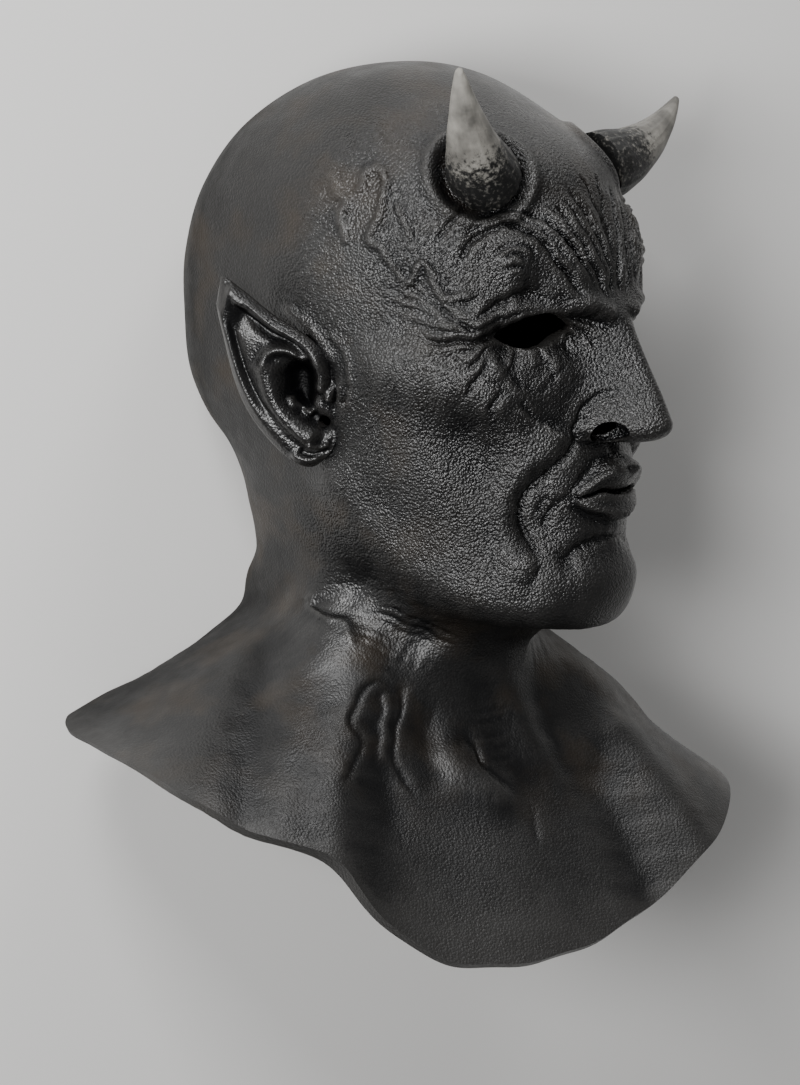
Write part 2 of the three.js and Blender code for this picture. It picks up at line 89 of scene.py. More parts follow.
def between(a, b, c, d, t):
    """The Catmull-Rom curve from b at t = 0 to c at 1, where a comes before them and d after."""
    return b + 0.5 * t * (c - a + t * (2 * a - 5 * b + 4 * c - d + t * (3 * (b - c) + d - a)))


def guides():
    """The ring table with a mirrored ring before the crown and two more past the rim."""
    crown_z = RINGS[0, 0]
    front_z, front_y, side_x, side_y, mid_z, back_z, back_y = RINGS[1]
    over = [2 * crown_z - front_z, front_y, -side_x, side_y, mid_z, 2 * crown_z - back_z, back_y]
    step = RINGS[RIM] - RINGS[RIM - 1]
    return np.vstack([over, RINGS, RINGS[RIM] + step, RINGS[RIM] + 2 * step])


GUIDES = guides()


def base_points(azimuth, row):
    """Each ring is a front and a back half oval: |z/depth|^p + |x/width|^p = 1, with the table's
    columns run through the rings by a Catmull-Rom curve, and the height moves from the side's to
    the front's or the back's by the square of the cosine."""
    azimuth, row = np.broadcast_arrays(azimuth, row)
    i = np.minimum(np.floor(row).astype(int), RIM)
    ring = between(*(GUIDES[i + k] for k in range(4)), (row - i)[..., None])
    front_z, front_y, side_x, side_y, mid_z, back_z, back_y = np.moveaxis(ring, -1, 0)
    sine, cosine = np.sin(azimuth), np.cos(azimuth)
    front = cosine > 0
    depth = np.maximum(np.where(front, front_z - mid_z, mid_z - back_z), 1e-6)
    squareness = 0.35 * bell(row - 9, 4) + 0.4 * smooth(row, NECK_FOOT, RIM)
    power = np.where(front, 2 + squareness, 2)
    across = np.abs(sine) / np.maximum(side_x, 1e-6)
    reach = ((np.abs(cosine) / depth) ** power + across**power) ** (-1 / power)
    height = side_y + (np.where(front, front_y, back_y) - side_y) * cosine**2
    return np.stack([reach * sine, height, mid_z + reach * cosine], -1)


def base_normals(azimuth, row):
    """The cross product of two small steps over the form, down the row and along the azimuth."""
    step = 1e-3
    row = np.clip(row, 0.02, RIM + 0.9)
    across = base_points(azimuth + step, row) - base_points(azimuth - step, row)
    down = base_points(azimuth, row + step) - base_points(azimuth, row - step)
    normal = np.cross(down, across)
    return normal / np.linalg.norm(normal, axis=-1, keepdims=True)


def on_base(degrees, heights):
    """The points of the form at azimuths from the middle of the face, found by halving the rows."""
    azimuth = np.radians(np.asarray(degrees, float))
    low, high = np.zeros_like(azimuth), np.full_like(azimuth, RIM + 1)
    for _ in range(30):
        middle = (low + high) / 2
        above = base_points(azimuth, middle)[..., 1] > heights
        low, high = np.where(above, middle, low), np.where(above, high, middle)
    return base_points(azimuth, low)


def turned(points, row):
    """From the upright sculpt to the pose of the photograph: the bib rolls and the head turns,
    each fading out through the neck."""
    share = smooth(row, NECK_TOP, NECK_FOOT)
    roll, turn = -BIB_ROLL * share, HEAD_TURN * (1 - share)
    x, y, z = np.moveaxis(points, -1, 0)
    y = y - ROLL_HEIGHT
    x, y = x * np.cos(roll) - y * np.sin(roll), x * np.sin(roll) + y * np.cos(roll)
    y = y + ROLL_HEIGHT
    z = z - TURN_AXIS_Z
    x, z = x * np.cos(turn) + z * np.sin(turn), z * np.cos(turn) - x * np.sin(turn)
    return np.stack([x, y, z + TURN_AXIS_Z], -1)


def laid_down(points):
    """Tips the upright mask back by a few degrees and brings its middle to the origin."""
    x, y, z = np.moveaxis(np.asarray(points, float), -1, 0)
    cosine, sine = math.cos(-LYING_TILT), math.sin(-LYING_TILT)
    tipped = np.stack([x, y * cosine - z * sine, y * sine + z * cosine], -1)
    return tipped - FLOOR_MIDDLE


def on_head(points, side):
    """From the upright head to the lying mask, on its left for side 1 and its right for -1."""
    points = points * [side, 1, 1]
    return laid_down(turned(points, np.zeros(points.shape[:-1])))


# The folds of the face and the neck.
# They were pressed into clay with rounded tools, so each is a path over the plain form with a soft
# profile: a ridge, or a crease with a roll of skin on either side of it.
def through(points, steps=6):
    """A Catmull-Rom curve through points, with so many steps between each two."""
    points = np.asarray(points, float)
    if len(points) < 3:
        return points
    before, after = 2 * points[:1] - points[1:2], 2 * points[-1:] - points[-2:-1]
    longer = np.concatenate([before, points, after])
    t = np.linspace(0, 1, steps, endpoint=False)[None, :, None]
    curve = between(*(longer[k : k + len(points) - 1, None] for k in range(4)), t)
    return np.concatenate([curve.reshape(-1, points.shape[1]), points[-1:]])


def nearest_on(path, points):
    """For each point: its distance to the path, the share of the path's length reached there, the
    path's direction there, and the offset from it. Each stretch's nearest place is its start
    plus the clamped projection on it."""
    if len(path) == 1:
        offset = points - path[0]
        return np.linalg.norm(offset, axis=1), np.full(len(points), 0.5), offset, offset
    start, run = path[:-1], np.diff(path, axis=0)
    length = np.linalg.norm(run, axis=1)
    reached = np.concatenate([[0], np.cumsum(length)])
    offset = points[:, None] - start
    share = np.clip((offset * run).sum(2) / length**2, 0, 1)
    miss = offset - share[..., None] * run
    best = (miss**2).sum(2).argmin(1)
    pick = np.arange(len(points))
    along = (reached[best] + share[pick, best] * length[best]) / reached[-1]
    miss = miss[pick, best]
    return np.linalg.norm(miss, axis=1), along, run[best] / length[best, None], miss


def tapered(along, ends):
    """Fades a feature in and out over the given share of its length at each end."""
    if ends <= 0:
        return 1
    return smooth(along, 0, ends) * smooth(1 - along, 0, ends)


def ridge(lift, width, path, ends=0.0, sharpness=2.0):
    """lift times e to the minus (distance / width)^sharpness. A negative lift is a groove."""

    def height(distance, along, side):
        return lift * np.exp(-((distance / width) ** sharpness)) * tapered(along, ends)

    return path, 3 * width, height


def crease(depth, width, left, right, roll, path, ends=0.25):
    """A valley of the given depth and width, with rolls of skin that stand highest one roll width
    away from it, on the left and the right of the way that the path runs."""

    def height(distance, along, side):
        valley = -depth * np.exp(-((distance / width) ** 1.7))
        away = distance / roll
        rolls = np.where(side > 0, left, right) * away * np.exp((1 - away**2) / 2)
        return (valley + rolls) * tapered(along, ends)

    return path, 3.2 * max(width, roll), height


def to_left(points):
    """The signs that carry each point of the mask's right over to its left."""
    return np.where(points[:, :1] < 0, [[-1, 1, 1]], [[1, 1, 1]])


def relief(features, points, normals, mirrored):
    """The summed height of the features. A mirrored set is worked out on the mask's left and
    repeated on its right. Sines of small height make the paths wander like the work of a hand."""
    if mirrored:
        flip = to_left(points)
        points, normals = points * flip, normals * flip
    wander = 0.45 * np.sin(points[:, [1, 2, 0]] * 0.5 + [0, 2, 4])
    points = points + wander + 0.25 * np.sin(points[:, [2, 0, 1]] * 1.3 + [1, 3, 5])
    total = np.zeros(len(points))
    for path, reach, height in features:
        degrees, heights = np.array(path, float).T
        curve = through(on_base(degrees, heights))
        low, high = curve.min(0) - reach, curve.max(0) + reach
        near = np.flatnonzero(((points > low) & (points < high)).all(1))
        distance, along, run, miss = nearest_on(curve, points[near])
        side = (np.cross(normals[near], run) * miss).sum(1)
        total[near] += np.where(distance < reach, height(distance, along, side), 0)
    return total


# Each path is a list of places on the plain form: an azimuth in degrees from the middle of the
# face, and a height. Broad forms of the head first, given on its left and repeated on its right.
BROAD_FORMS = [
    ridge(3.6, 4.5, [(5.5, 137), (8, 139.5), (10.5, 142)]),  # inner brow, drawn down in a frown
    ridge(2.5, 6.5, [(40, 137), (46, 133)]),  # outer end of the brow
    ridge(3.5, 10, [(30, 161)]),  # hill over the brow
    ridge(-2.5, 7, [(24, 145), (33, 140)]),  # under the hill
    ridge(-2.5, 4.5, [(26, 145.5), (22, 143), (18, 142.5)]),  # between the hill and the brow
    ridge(-8, 8, [(13, 126), (31, 126)]),  # eye socket
    ridge(2.2, 6.5, [(23, 130)]),  # eyeball under the lids
    ridge(-2, 12, [(58, 150), (62, 134)]),  # temple
    ridge(4.5, 14, [(36, 98), (48, 109), (63, 116)]),  # cheekbone
    ridge(-6.5, 16, [(42, 82), (34, 60), (30, 44)]),  # hollow cheek
    ridge(-4.5, 10, [(23, 64), (21, 48)]),  # beside the mouth
    ridge(-8.5, 8.5, [(94, 110), (92.5, 101)]),  # behind the bowl of the ear
    ridge(-3, 9, [(24, 185), (34, 181)]),  # under the horn
    ridge(3.5, 16, [(0, 16), (7, 16)]),  # chin
    ridge(1.2, 8, [(0, 2), (9, 3)]),  # underside of the chin
    ridge(-3, 5.5, [(0, 40), (5.5, 39), (11.5, 36), (15, 32.5)]),  # over the chin
    ridge(3.5, 12, [(22, 10), (42, 17), (62, 31), (80, 48), (88, 62)]),  # jaw
    ridge(-5, 11, [(38, -8), (60, 2), (80, 16)]),  # hollow under the jaw
]
# Broad forms of the neck and bib, each on its own side: an azimuth below 0 is the mask's right.
NECK_FORMS = [
    ridge(-3.5, 13, [(-127, -26), (-118, -40)]),  # back of the right shoulder
    # valley down the right side of the neck, and the ridge in front of it
    ridge(-3, 11, [
        (-96, -6), (-83, -15), (-71.5, -32), (-64, -48), (-59, -64), (-54, -84), (-49, -115),
    ], 0.15),
    ridge(4, 14, [
        (-100, 6), (-64, -12), (-50, -30), (-46, -47), (-43, -68), (-39.5, -86), (-35, -125),
    ]),
    # shallow valleys between that ridge and the throat
    ridge(-1.2, 9, [(-33, -50), (-30, -70), (-25, -100)], 0.35),
    ridge(-2.5, 7, [(-25, -30), (-19, -48), (-14.5, -61), (-12.5, -76)], 0.35),
    ridge(3.5, 9, [(-10, -60), (-2, -67), (7, -74)]),  # end of the right collarbone
    # tendon from the throat down to the left, and the valley behind it
    ridge(3.2, 9, [(-20, 0), (-4, -11), (9, -23), (21, -34), (27, -46), (31, -60), (35, -84)], 0.4),
    ridge(-1.4, 9, [(43, -4), (39, -26), (38, -42), (37, -60), (36, -90)], 0.4),
    # top and front edge of the left shoulder, and the valley before that edge
    ridge(5, 15, [(68, -22), (78, -29), (88, -38)]),
    ridge(3.5, 14, [(66, -34), (57, -60), (53, -78), (50, -95), (47, -130)], 0.15),
    ridge(-3, 12, [(45, -50), (43, -66), (40.5, -82), (38, -98), (35, -130)], 0.2),
]
# Folds of the face, on both sides alike.
FACE_FOLDS = [
    # smile line, with the cheek rolling over it
    crease(2.2, 1.6, 4, 0.8, 8, [
        (12.5, 89), (13.5, 83), (16.5, 76), (20.5, 69), (24.5, 63), (27, 58), (27.8, 52.5),
        (27.2, 47), (26, 41.5), (24, 36.5), (20.5, 32),
    ], 0.12),
    # groove round the wing of the nose
    crease(2, 1.5, 0.8, 0.6, 3, [
        (14, 84), (14, 88.5), (12.7, 94), (11, 98.5), (9, 102), (7, 103.5), (5, 102.5),
    ], 0.2),
    # below the corner of the mouth
    crease(0.9, 1.6, 0.2, 0.3, 3.5, [
        (14, 59), (16.5, 57.5), (18.5, 54), (19.8, 49), (20, 43),
    ], 0.15),
    crease(0.5, 1.2, 0.3, 0.3, 2.5, [(18.5, 60), (21.5, 55), (23, 49)], 0.3),
    # borders of the lips
    crease(0.5, 0.9, 0.9, 0, 1.6, [
        (15, 60.5), (12.5, 65), (10, 67.5), (7.5, 69.5), (5, 70.3), (2.5, 70), (-3, 69),
    ], 0.1),
    crease(0.6, 1, 0, 0.8, 1.8, [
        (15, 56), (12.5, 53.7), (9.5, 51.5), (6, 50), (0, 48.5), (-6, 48.5),
    ], 0.1),
    # lower edge of the brow, which overhangs the eye
    crease(3.2, 2.2, 0, 2.2, 5, [
        (42, 127), (38, 127.5), (34, 129.5), (30, 132.5), (26, 134.8), (20, 135.8), (14, 135.5),
        (9, 134.3), (6, 132), (3, 130.5),
    ], 0.12),
    # lines of the brow itself
    crease(1.4, 1.4, 1, 1, 3, [(42, 135), (37, 138.5), (33.5, 142.5), (30, 146), (26, 146.5)], 0.3),
    crease(0.8, 1.2, 0.8, 0.8, 2.2, [(40, 131), (33, 135.7), (28, 138.5), (22, 139)], 0.3),
    # arches over the hill of the brow, and short arcs on it
    crease(2, 1.3, 1.6, 1.3, 3.2, [
        (43.5, 157), (42.5, 161), (41, 166.5), (37.5, 171.5), (32, 175), (28, 175), (24, 171.5),
        (20.5, 165), (16.5, 156), (13, 148), (9.5, 142),
    ], 0.15),
    crease(1.4, 1.1, 1, 1, 2.4, [
        (43, 166), (41, 171), (37, 175.5), (31.5, 178.5), (26.5, 178), (21.5, 172.5), (17.5, 164),
        (13, 154),
    ]),
    crease(1.8, 1.4, 1.4, 1.2, 3, [
        (42, 170), (40, 174.5), (37, 179), (32, 181.5), (26, 181), (20, 176.5), (15, 167),
        (10, 156.5), (6, 146.5),
    ]),
    crease(1.3, 1.2, 1, 1, 2.8, [(50, 166), (47, 173), (42, 181), (36, 185.5), (29, 186.5)]),
    crease(1.2, 0.9, 0.8, 0.7, 1.8, [(35, 160), (33, 165), (29, 167), (25.5, 165.5), (24, 161)]),
    crease(1.2, 0.9, 0.8, 0.6, 1.6, [(32.5, 160), (31, 162.5), (29, 163.8), (27, 162), (26.5, 159.5)]),
    crease(1.1, 0.9, 0.7, 0.6, 1.6, [(33, 156), (30.5, 158), (28, 158), (26.5, 156)]),
    # frown lines that fan from the root of the nose to the horns
    crease(2.2, 1.3, 1.5, 1.3, 3.2, [
        (17, 187), (13.5, 176), (10.5, 166.5), (8, 157.5), (5.5, 149), (3, 140),
    ]),
    crease(1.9, 1.2, 1.3, 1.2, 3, [
        (11, 192), (6.5, 179), (4.2, 168), (2.6, 158.5), (1.8, 149), (2, 141),
    ]),
    crease(1, 1.1, 0.9, 0.7, 2.3, [(22, 183), (17.5, 174), (13, 163.5), (10, 154), (8, 146)]),
    crease(0.7, 0.9, 0.6, 0.6, 1.9, [(14, 189), (10, 177), (7, 167), (5, 157), (3.8, 147)]),
    crease(0.7, 0.9, 0.6, 0.6, 1.9, [(20, 188), (15.5, 177), (12, 168), (9, 158), (7, 150)]),
    crease(0.6, 0.8, 0.5, 0.5, 1.7, [(25, 180), (20, 172), (16, 163), (12.5, 154.5)]),
    crease(0.6, 0.8, 0.5, 0.5, 1.7, [(8, 190), (5.3, 179), (3.4, 168), (2.2, 158)]),
    crease(0.7, 0.9, 0.6, 0.5, 1.8, [(5, 200), (2.5, 188), (0.8, 176), (0.4, 162)]),
    # hollow under the eye, the fold across it, and its lower border
    ridge(-2.8, 6.5, [(31, 118.5), (25, 111.5), (19, 117)], 0.1),
    ridge(1.1, 2.6, [(37, 121), (34, 113), (29.5, 105.5), (25, 101)], 0.3),
    crease(0.35, 1.4, 0, 0.6, 4, [
        (35, 126.5), (33.5, 119.5), (30.5, 112.5), (27, 107), (23.5, 104.5), (20, 108), (16.5, 114.5),
        (12.5, 121.5),
    ], 0.2),
    # root of the nose
    crease(1, 1.1, 1, 0.8, 2.2, [(15.5, 132.5), (11, 130), (8, 125.5), (6, 119)], 0.25),
    crease(0.9, 1, 0.8, 0.7, 2, [(15, 129.5), (11, 126.5), (8.5, 121.5)], 0.3),
    # crow's feet
    crease(1.2, 1.1, 1.1, 1.1, 2.6, [(35, 131.5), (39, 132), (43, 134), (46.5, 138.5), (50, 145.5)]),
    crease(1.4, 1.2, 1.1, 1.1, 2.6, [(35.5, 129.3), (39, 127.5), (43, 126.3), (49, 126.3), (54, 128)]),
    crease(1, 1.1, 1, 1, 2.4, [(36, 127.5), (40, 124), (45, 121.5)]),
    crease(1, 1.1, 0.8, 0.8, 2.6, [(35.5, 125.5), (39, 119.5), (43, 114.5)]),
    crease(0.9, 1.2, 0.9, 0.8, 3.2, [(36, 122), (38, 114.5), (41.5, 107.5), (44, 101)]),
    # fine lines from the corner of the eye up the temple
    crease(0.7, 0.9, 0.5, 0.5, 1.8, [(66, 176), (53.5, 160), (44.5, 146), (39, 137)], 0.3),
    crease(0.7, 0.9, 0.5, 0.5, 1.8, [(60, 172), (49, 157.5), (42, 144.5), (38, 136)], 0.3),
    crease(0.8, 0.9, 0.5, 0.5, 1.8, [(66, 161), (56.5, 150), (47, 140), (39, 134)], 0.3),
    crease(0.7, 0.9, 0.5, 0.5, 1.8, [(66, 152), (56, 144), (46, 137), (39, 133)], 0.3),
    crease(0.8, 0.9, 0.5, 0.5, 1.8, [(64, 143), (54, 139), (44.5, 135), (38.5, 132)], 0.3),
    crease(0.6, 0.9, 0.5, 0.5, 1.8, [(60, 136), (51, 132), (41, 130)], 0.3),
    # short lines of the cheek
    crease(0.9, 1.2, 1, 1, 3, [(33, 107), (36, 100), (36.5, 92)], 0.4),
    crease(0.7, 1, 0.7, 0.6, 2.2, [(29, 103), (27, 97), (24, 92)], 0.4),
    # swelling round the front of the ear
    ridge(1.6, 2.8, [
        (99, 139), (94, 137), (89.5, 133), (85.5, 127), (82.5, 120), (81.5, 112),
    ], 0.2),
    ridge(0.9, 1.5, [(83, 131), (78, 124), (76, 118), (76, 110), (76, 102)], 0.25, 2.4),
    crease(1.8, 1.2, 0.8, 0.8, 2, [(78, 107), (80, 101), (81, 95)], 0.3),
    crease(1, 1.1, 0.3, 0.8, 3, [(-4, 40.5), (5.5, 39.5), (11.5, 36.5), (16, 31)], 0.2),  # over the chin
]
# Veins that stand under the skin of the temple.
TEMPLE_VEINS = [
    ridge(1.5, 1.9, [
        (83, 199), (80, 193), (78, 187.5), (74.5, 185), (77, 179), (75, 172.5), (74.5, 166),
    ], 0.1, 4),
    ridge(1.8, 1.9, [
        (74.5, 187.5), (71, 190.5), (69.5, 197), (65, 199), (63, 194.5), (64, 186), (65, 179.5),
        (67, 172.5), (67.5, 168), (64.5, 166.5), (61.5, 160), (58.5, 153), (56, 151.5), (53.5, 158),
        (51, 158.5), (49, 151), (46.5, 145), (42, 146), (38, 149.5),
    ], 0.06, 4),
    ridge(1.5, 1.7, [(60, 185), (58, 179), (56, 173), (56, 169)], 0.2, 4),
]
# Folds and veins of the neck, each on its own side.
NECK_FOLDS = [
    # vein on the right ridge of the neck, and the furrows that loop over it
    ridge(1.2, 2, [
        (-38, -31), (-37.5, -36), (-35.5, -43), (-34.5, -49), (-33.5, -56), (-31.5, -64),
    ], 0.15, 2.4),
    crease(0.8, 1.6, 0.3, 0.4, 3, [
        (-38, -29), (-33.5, -33), (-31, -42), (-31, -48), (-30, -55), (-28.5, -61), (-25, -68),
        (-19, -75),
    ], 0.12),
    crease(0.8, 1.5, 0.3, 0.4, 3, [
        (-38, -29.5), (-43.5, -28), (-46, -32), (-45.5, -41), (-45, -47), (-42.5, -52),
        (-39.5, -58), (-41, -66), (-41, -73),
    ], 0.1),
    # folds below the throat
    crease(1, 1.6, 0.4, 1, 4, [(-4, -48), (2.5, -56), (6, -65), (15.5, -72)], 0.2),
    crease(0.5, 1.8, 0.2, 0.1, 5, [(18.5, -75), (18.5, -83), (15, -94)], 0.3),
    # vein behind the jaw
    ridge(1.3, 2.2, [(-102, 12), (-90, 2), (-80, -2.5), (-69, -3.5), (-56, -14.5)], 0.15, 2.4),
]
# Fine creases side by side where the jaw meets the neck.
NECK_FOLDS += [
    crease(0.4, 0.8, 0.2, 0.2, 1.8, [
        (-68, top), (-51, top - 6), (-35, top - 12), (-20, top - 16),
    ], 0.2)
    for top in (8, 4.8, 2, -1, -4.2, -7.5)
]
# Fine level creases between the throat and the left tendon.
NECK_FOLDS += [
    crease(0.4, 0.7, 0.2, 0.2, 1.6, [(-3, height - 2), (10, height), (23, height + 2)], 0.35)
    for height in (-38, -43, -49, -54, -60)
]

NOSE_REACH, NOSE_DROOP = 32, 4.5  # how far it stands out, and how far its tip hooks down
NOSE_TOP, NOSE_TIP, NOSE_FOOT = 148, 94, 82  # heights
BRIDGE_WIDTH, TIP_WIDTH = 10, 13.5
WING_REACH, WING_OUT, WING_HEIGHT, WING_WIDTH = 8, 12, 91, 6.5
MOUTH_HEIGHT, MOUTH_HALF_WIDTH = 59.3, 22.5
UPPER_LIP, LOWER_LIP = 12, 10.5  # how tall the lips are at the middle
UPPER_EDGE, UPPER_SLOPE, LOWER_LEDGE = 5, 3.8, 7.5  # how far they stand out
MUZZLE_REACH, MUZZLE_WIDTH = 4.8, 15


def nose_reach(x, y):
    """How far the hooked nose stands out of the face. A straight bridge rises to the tip and a
    quarter circle runs back under it, each falling off like a bell across, and a rounded wing
    stands each side."""
    up = np.maximum((NOSE_TOP - y) / (NOSE_TOP - NOSE_TIP), 0)
    under = (NOSE_TIP - y) / (NOSE_TIP - NOSE_FOOT)
    along = np.where(y > NOSE_TIP, up, np.sqrt(np.maximum(1 - under**2, 0)))
    width = BRIDGE_WIDTH + (TIP_WIDTH - BRIDGE_WIDTH) * smooth(125 - y, 0, 30)
    roof = np.exp(-((np.abs(x) / width) ** 2.1))
    away = np.hypot(np.abs(x) - WING_OUT, (y - WING_HEIGHT) * 0.85)
    wing = WING_REACH * bell(away, WING_WIDTH)
    return NOSE_REACH * along * roof + wing * smooth(y, NOSE_FOOT + 1, NOSE_FOOT + 6)


def lip_reach(x, y):
    """Each lip rises steeply from the mouth. The upper one goes on sloping out toward the nose, and
    the lower one is a ledge. Both grow thin and flat toward corners that turn down. They stand on
    a swollen muzzle, and a dip runs from the upper one to the nose."""
    fade = np.sqrt(np.maximum(1 - (x / MOUTH_HALF_WIDTH) ** 2, 0))
    above = y - MOUTH_HEIGHT - 1.5 * bell(np.abs(x) - 11, 5) + 1.5 * (x / MOUTH_HALF_WIDTH) ** 4
    upper = above / (UPPER_LIP * np.maximum(fade, 0.15) ** 1.4)
    lower = -above / (LOWER_LIP * np.maximum(fade, 0.15) ** 1.2)
    rise = UPPER_EDGE * smooth(upper, 0, 0.14) + UPPER_SLOPE * smooth(upper, -0.3, 1)
    upper_lip = np.where(upper > 0, rise * (1 - smooth(upper, 0.9, 1.45)), 0)
    lower_lip = LOWER_LEDGE * smooth(lower, 0, 0.12) * (1 - smooth(lower, 1, 1.35))
    opening = 0.8 * bell(above, 0.6) * np.maximum(1 - (x / 25) ** 2, 0) ** 0.5
    dip = 2 * bell(x, 3.2) * smooth(y, 64, 70) * smooth(86 - y, 0, 6)
    muzzle = MUZZLE_REACH * bell(x, MUZZLE_WIDTH) * (bell(y - 73, 10) + bell(y - 42, 8))
    return (upper_lip + lower_lip) * fade - opening - dip + muzzle


HORN_SEAT = on_base([35.0], [198.0])[0]
RING_LIFT, RING_RADIUS, RING_WIDTH = 3, 23, 3
GROOVE_DEPTH, GROOVE_RADIUS, GROOVE_WIDTH = 5.5, 15, 5.5
BIB_WAVES, BIB_WAVE_HEIGHT = 6, 2.5


def seat_relief(points):
    """A swollen ring of skin stands round each horn, with a deep groove inside it."""
    away = np.linalg.norm(points * to_left(points) - HORN_SEAT, axis=1)
    ring = RING_LIFT * bell(away - RING_RADIUS, RING_WIDTH)
    return ring - GROOVE_DEPTH * bell(away - GROOVE_RADIUS, GROOVE_WIDTH)


def bib_wave(azimuth, row):
    """The bib hangs in shallow waves, which grow from the foot of the neck to the rim."""
    share = smooth(row, NECK_FOOT - 1.5, RIM)
    return BIB_WAVE_HEIGHT * np.sin(BIB_WAVES * azimuth + 1) * share


def skin_points(azimuth, row, grow=0.0):
    """The outside of the mask: the plain form, moved along its normals by the features, and then
    forward by the nose and the lips."""
    azimuth, row = np.broadcast_arrays(azimuth, row)
    shape = azimuth.shape
    azimuth, row = azimuth.ravel(), row.ravel()
    points, normals = base_points(azimuth, row), base_normals(azimuth, row)
    x, y, z = points.T
    lift = grow + relief(BROAD_FORMS + FACE_FOLDS + TEMPLE_VEINS, points, normals, True)
    lift = lift + relief(NECK_FORMS + NECK_FOLDS, points, normals, False)
    lift = lift + seat_relief(points) + bib_wave(azimuth, row)
    facing = (z > 0) & (row < NECK_TOP)
    nose = np.where(facing, nose_reach(x, y), 0)
    lips = np.where(facing, lip_reach(x, y), 0)
    moved = points + normals * lift[:, None]
    moved[:, 2] += nose + lips
    moved[:, 1] -= NOSE_DROOP * nose / NOSE_REACH * smooth(NOSE_TIP + 10 - y, 0, 14)
    return turned(moved, row).reshape(*shape, 3)


# The casting.
# Latex was slushed round a hollow mould, so the outside has every fold and the lining is soft. Both
# are closed shells, and the lining is cut out of the outside, which leaves the bib open below.
WALL = 3
HEM = 12  # how far the outside turns in at the rim
SKIN_COLUMNS, LINING_COLUMNS = 400, 130
# How many rows lie in each gap between two rings.
SKIN_ROWS = [20, 20, 22, 29, 27, 22, 28, 34, 40, 32, 28, 25, 24, 20, 16, 18, 20, 24]
LINING_ROWS = [4, 4, 4, 5, 5, 5, 6, 7, 8, 6, 6, 5, 5, 4, 4, 4, 4, 4]
SKIN_END, LINING_END = -80, -140  # heights of the points that close the shells below


def lining_points(azimuth, row):
    """The inside: the plain form moved in by the wall. It goes a little further in at the hollows
    and follows the raised forms by less than half, so the wall is thickest behind those."""
    azimuth, row = np.broadcast_arrays(azimuth, row)
    shape = azimuth.shape
    azimuth, row = azimuth.ravel(), row.ravel()
    points, normals = base_points(azimuth, row), base_normals(azimuth, row)
    x, y, z = points.T
    wall = WALL - 1.2 * smooth(row, RIM - 1, RIM)
    backing = 2.5 * smooth(z, 0, 40) * smooth(row, 3, 5)
    lift = -wall - backing + bib_wave(azimuth, row) + 1.2 * np.minimum(seat_relief(points), 0)
    for features, mirrored in ((BROAD_FORMS + FACE_FOLDS, True), (NECK_FORMS + NECK_FOLDS, False)):
        height = relief(features, points, normals, mirrored)
        lift = lift + 1.3 * np.minimum(height, 0) + 0.4 * np.maximum(height, 0)
    facing = (z > 0) & (row < NECK_TOP)
    moved = points + normals * lift[:, None]
    moved[:, 2] += np.where(facing, 0.66 * nose_reach(x, y), 0)
    return turned(moved, row).reshape(*shape, 3)


def rows_at(per_ring, last):
    """Rows between the rings, so many to each gap, and a last one."""
    rows = [ring + k / count for ring, count in enumerate(per_ring) for k in range(count)]
    return np.array(rows + [last])


def columns_at(count):
    """Azimuths all the way round, close together at the front and wide apart at the back."""
    s = 1 - 2 * np.arange(count) / count
    return math.pi * (0.5 * s + 0.5 * s**3)


def closed_mesh(name, rings, first, last):
    """Rings of points in rows, closed by a point at each end, as one mesh with outward faces."""
    rows, columns = rings.shape[:2]
    points = np.concatenate([[first], rings.reshape(-1, 3), [last]])
    grid = 1 + np.arange(rows * columns).reshape(rows, columns)
    beside = np.roll(grid, -1, axis=1)
    sides = np.stack([grid[:-1], beside[:-1], beside[1:], grid[1:]], -1).reshape(-1, 4)
    top = np.stack([np.zeros(columns, int), beside[0], grid[0]], -1)
    bottom = np.stack([np.full(columns, len(points) - 1), grid[-1], beside[-1]], -1)
    a, b, c = points[sides[:, 0]], points[sides[:, 1]], points[sides[:, 2]]
    outward = np.einsum("ij,ij->", a - points.mean(0), np.cross(b - a, c - a)) > 0
    faces = [*top.tolist(), *sides.tolist(), *bottom.tolist()]
    if not outward:
        faces = [face[::-1] for face in faces]
    mesh = bpy.data.meshes.new(name)
    mesh.from_pydata(points * MILLIMETRE, [], faces)
    piece = bpy.data.objects.new(name, mesh)
    bpy.context.scene.collection.objects.link(piece)
    return piece


def rim_wave(azimuth):
    """How much lower than its ring the rim lies, in rings. It was trimmed by hand, so it rises on
    the right breast, dips a little beside that and is nowhere quite even."""
    degrees = np.degrees(azimuth)
    rise, sink = 0.33 * bell(degrees + 40, 11.5), 0.05 * bell(degrees + 11, 9)
    return sink - rise + 0.012 * np.sin(azimuth * 21)


def pressed_flat(points, level):
    """The back of the skull and of the collar are pressed level where they lie on the floor."""
    flat = points.copy()
    flat[..., 2] = np.maximum(flat[..., 2], level)
    return flat


def skin_shell():
    """The outside from the crown to the rim, turned in there and closed at a point inside."""
    azimuth = columns_at(SKIN_COLUMNS)[None, :]
    rows = rows_at(SKIN_ROWS, RIM)[1:, None]
    rows = rows + rim_wave(azimuth) * np.clip(rows - RIM + 1, 0, 1)
    outside = skin_points(azimuth, rows)
    edge = skin_points(azimuth, rows[-1:], -HEM)
    rings = laid_down(np.concatenate([outside, edge]))
    crown = laid_down(skin_points(np.zeros(1), np.zeros(1))[0])
    inside = laid_down([0, SKIN_END, TURN_AXIS_Z])
    return closed_mesh("mask_skin_latex", pressed_flat(rings, 0), crown, inside)


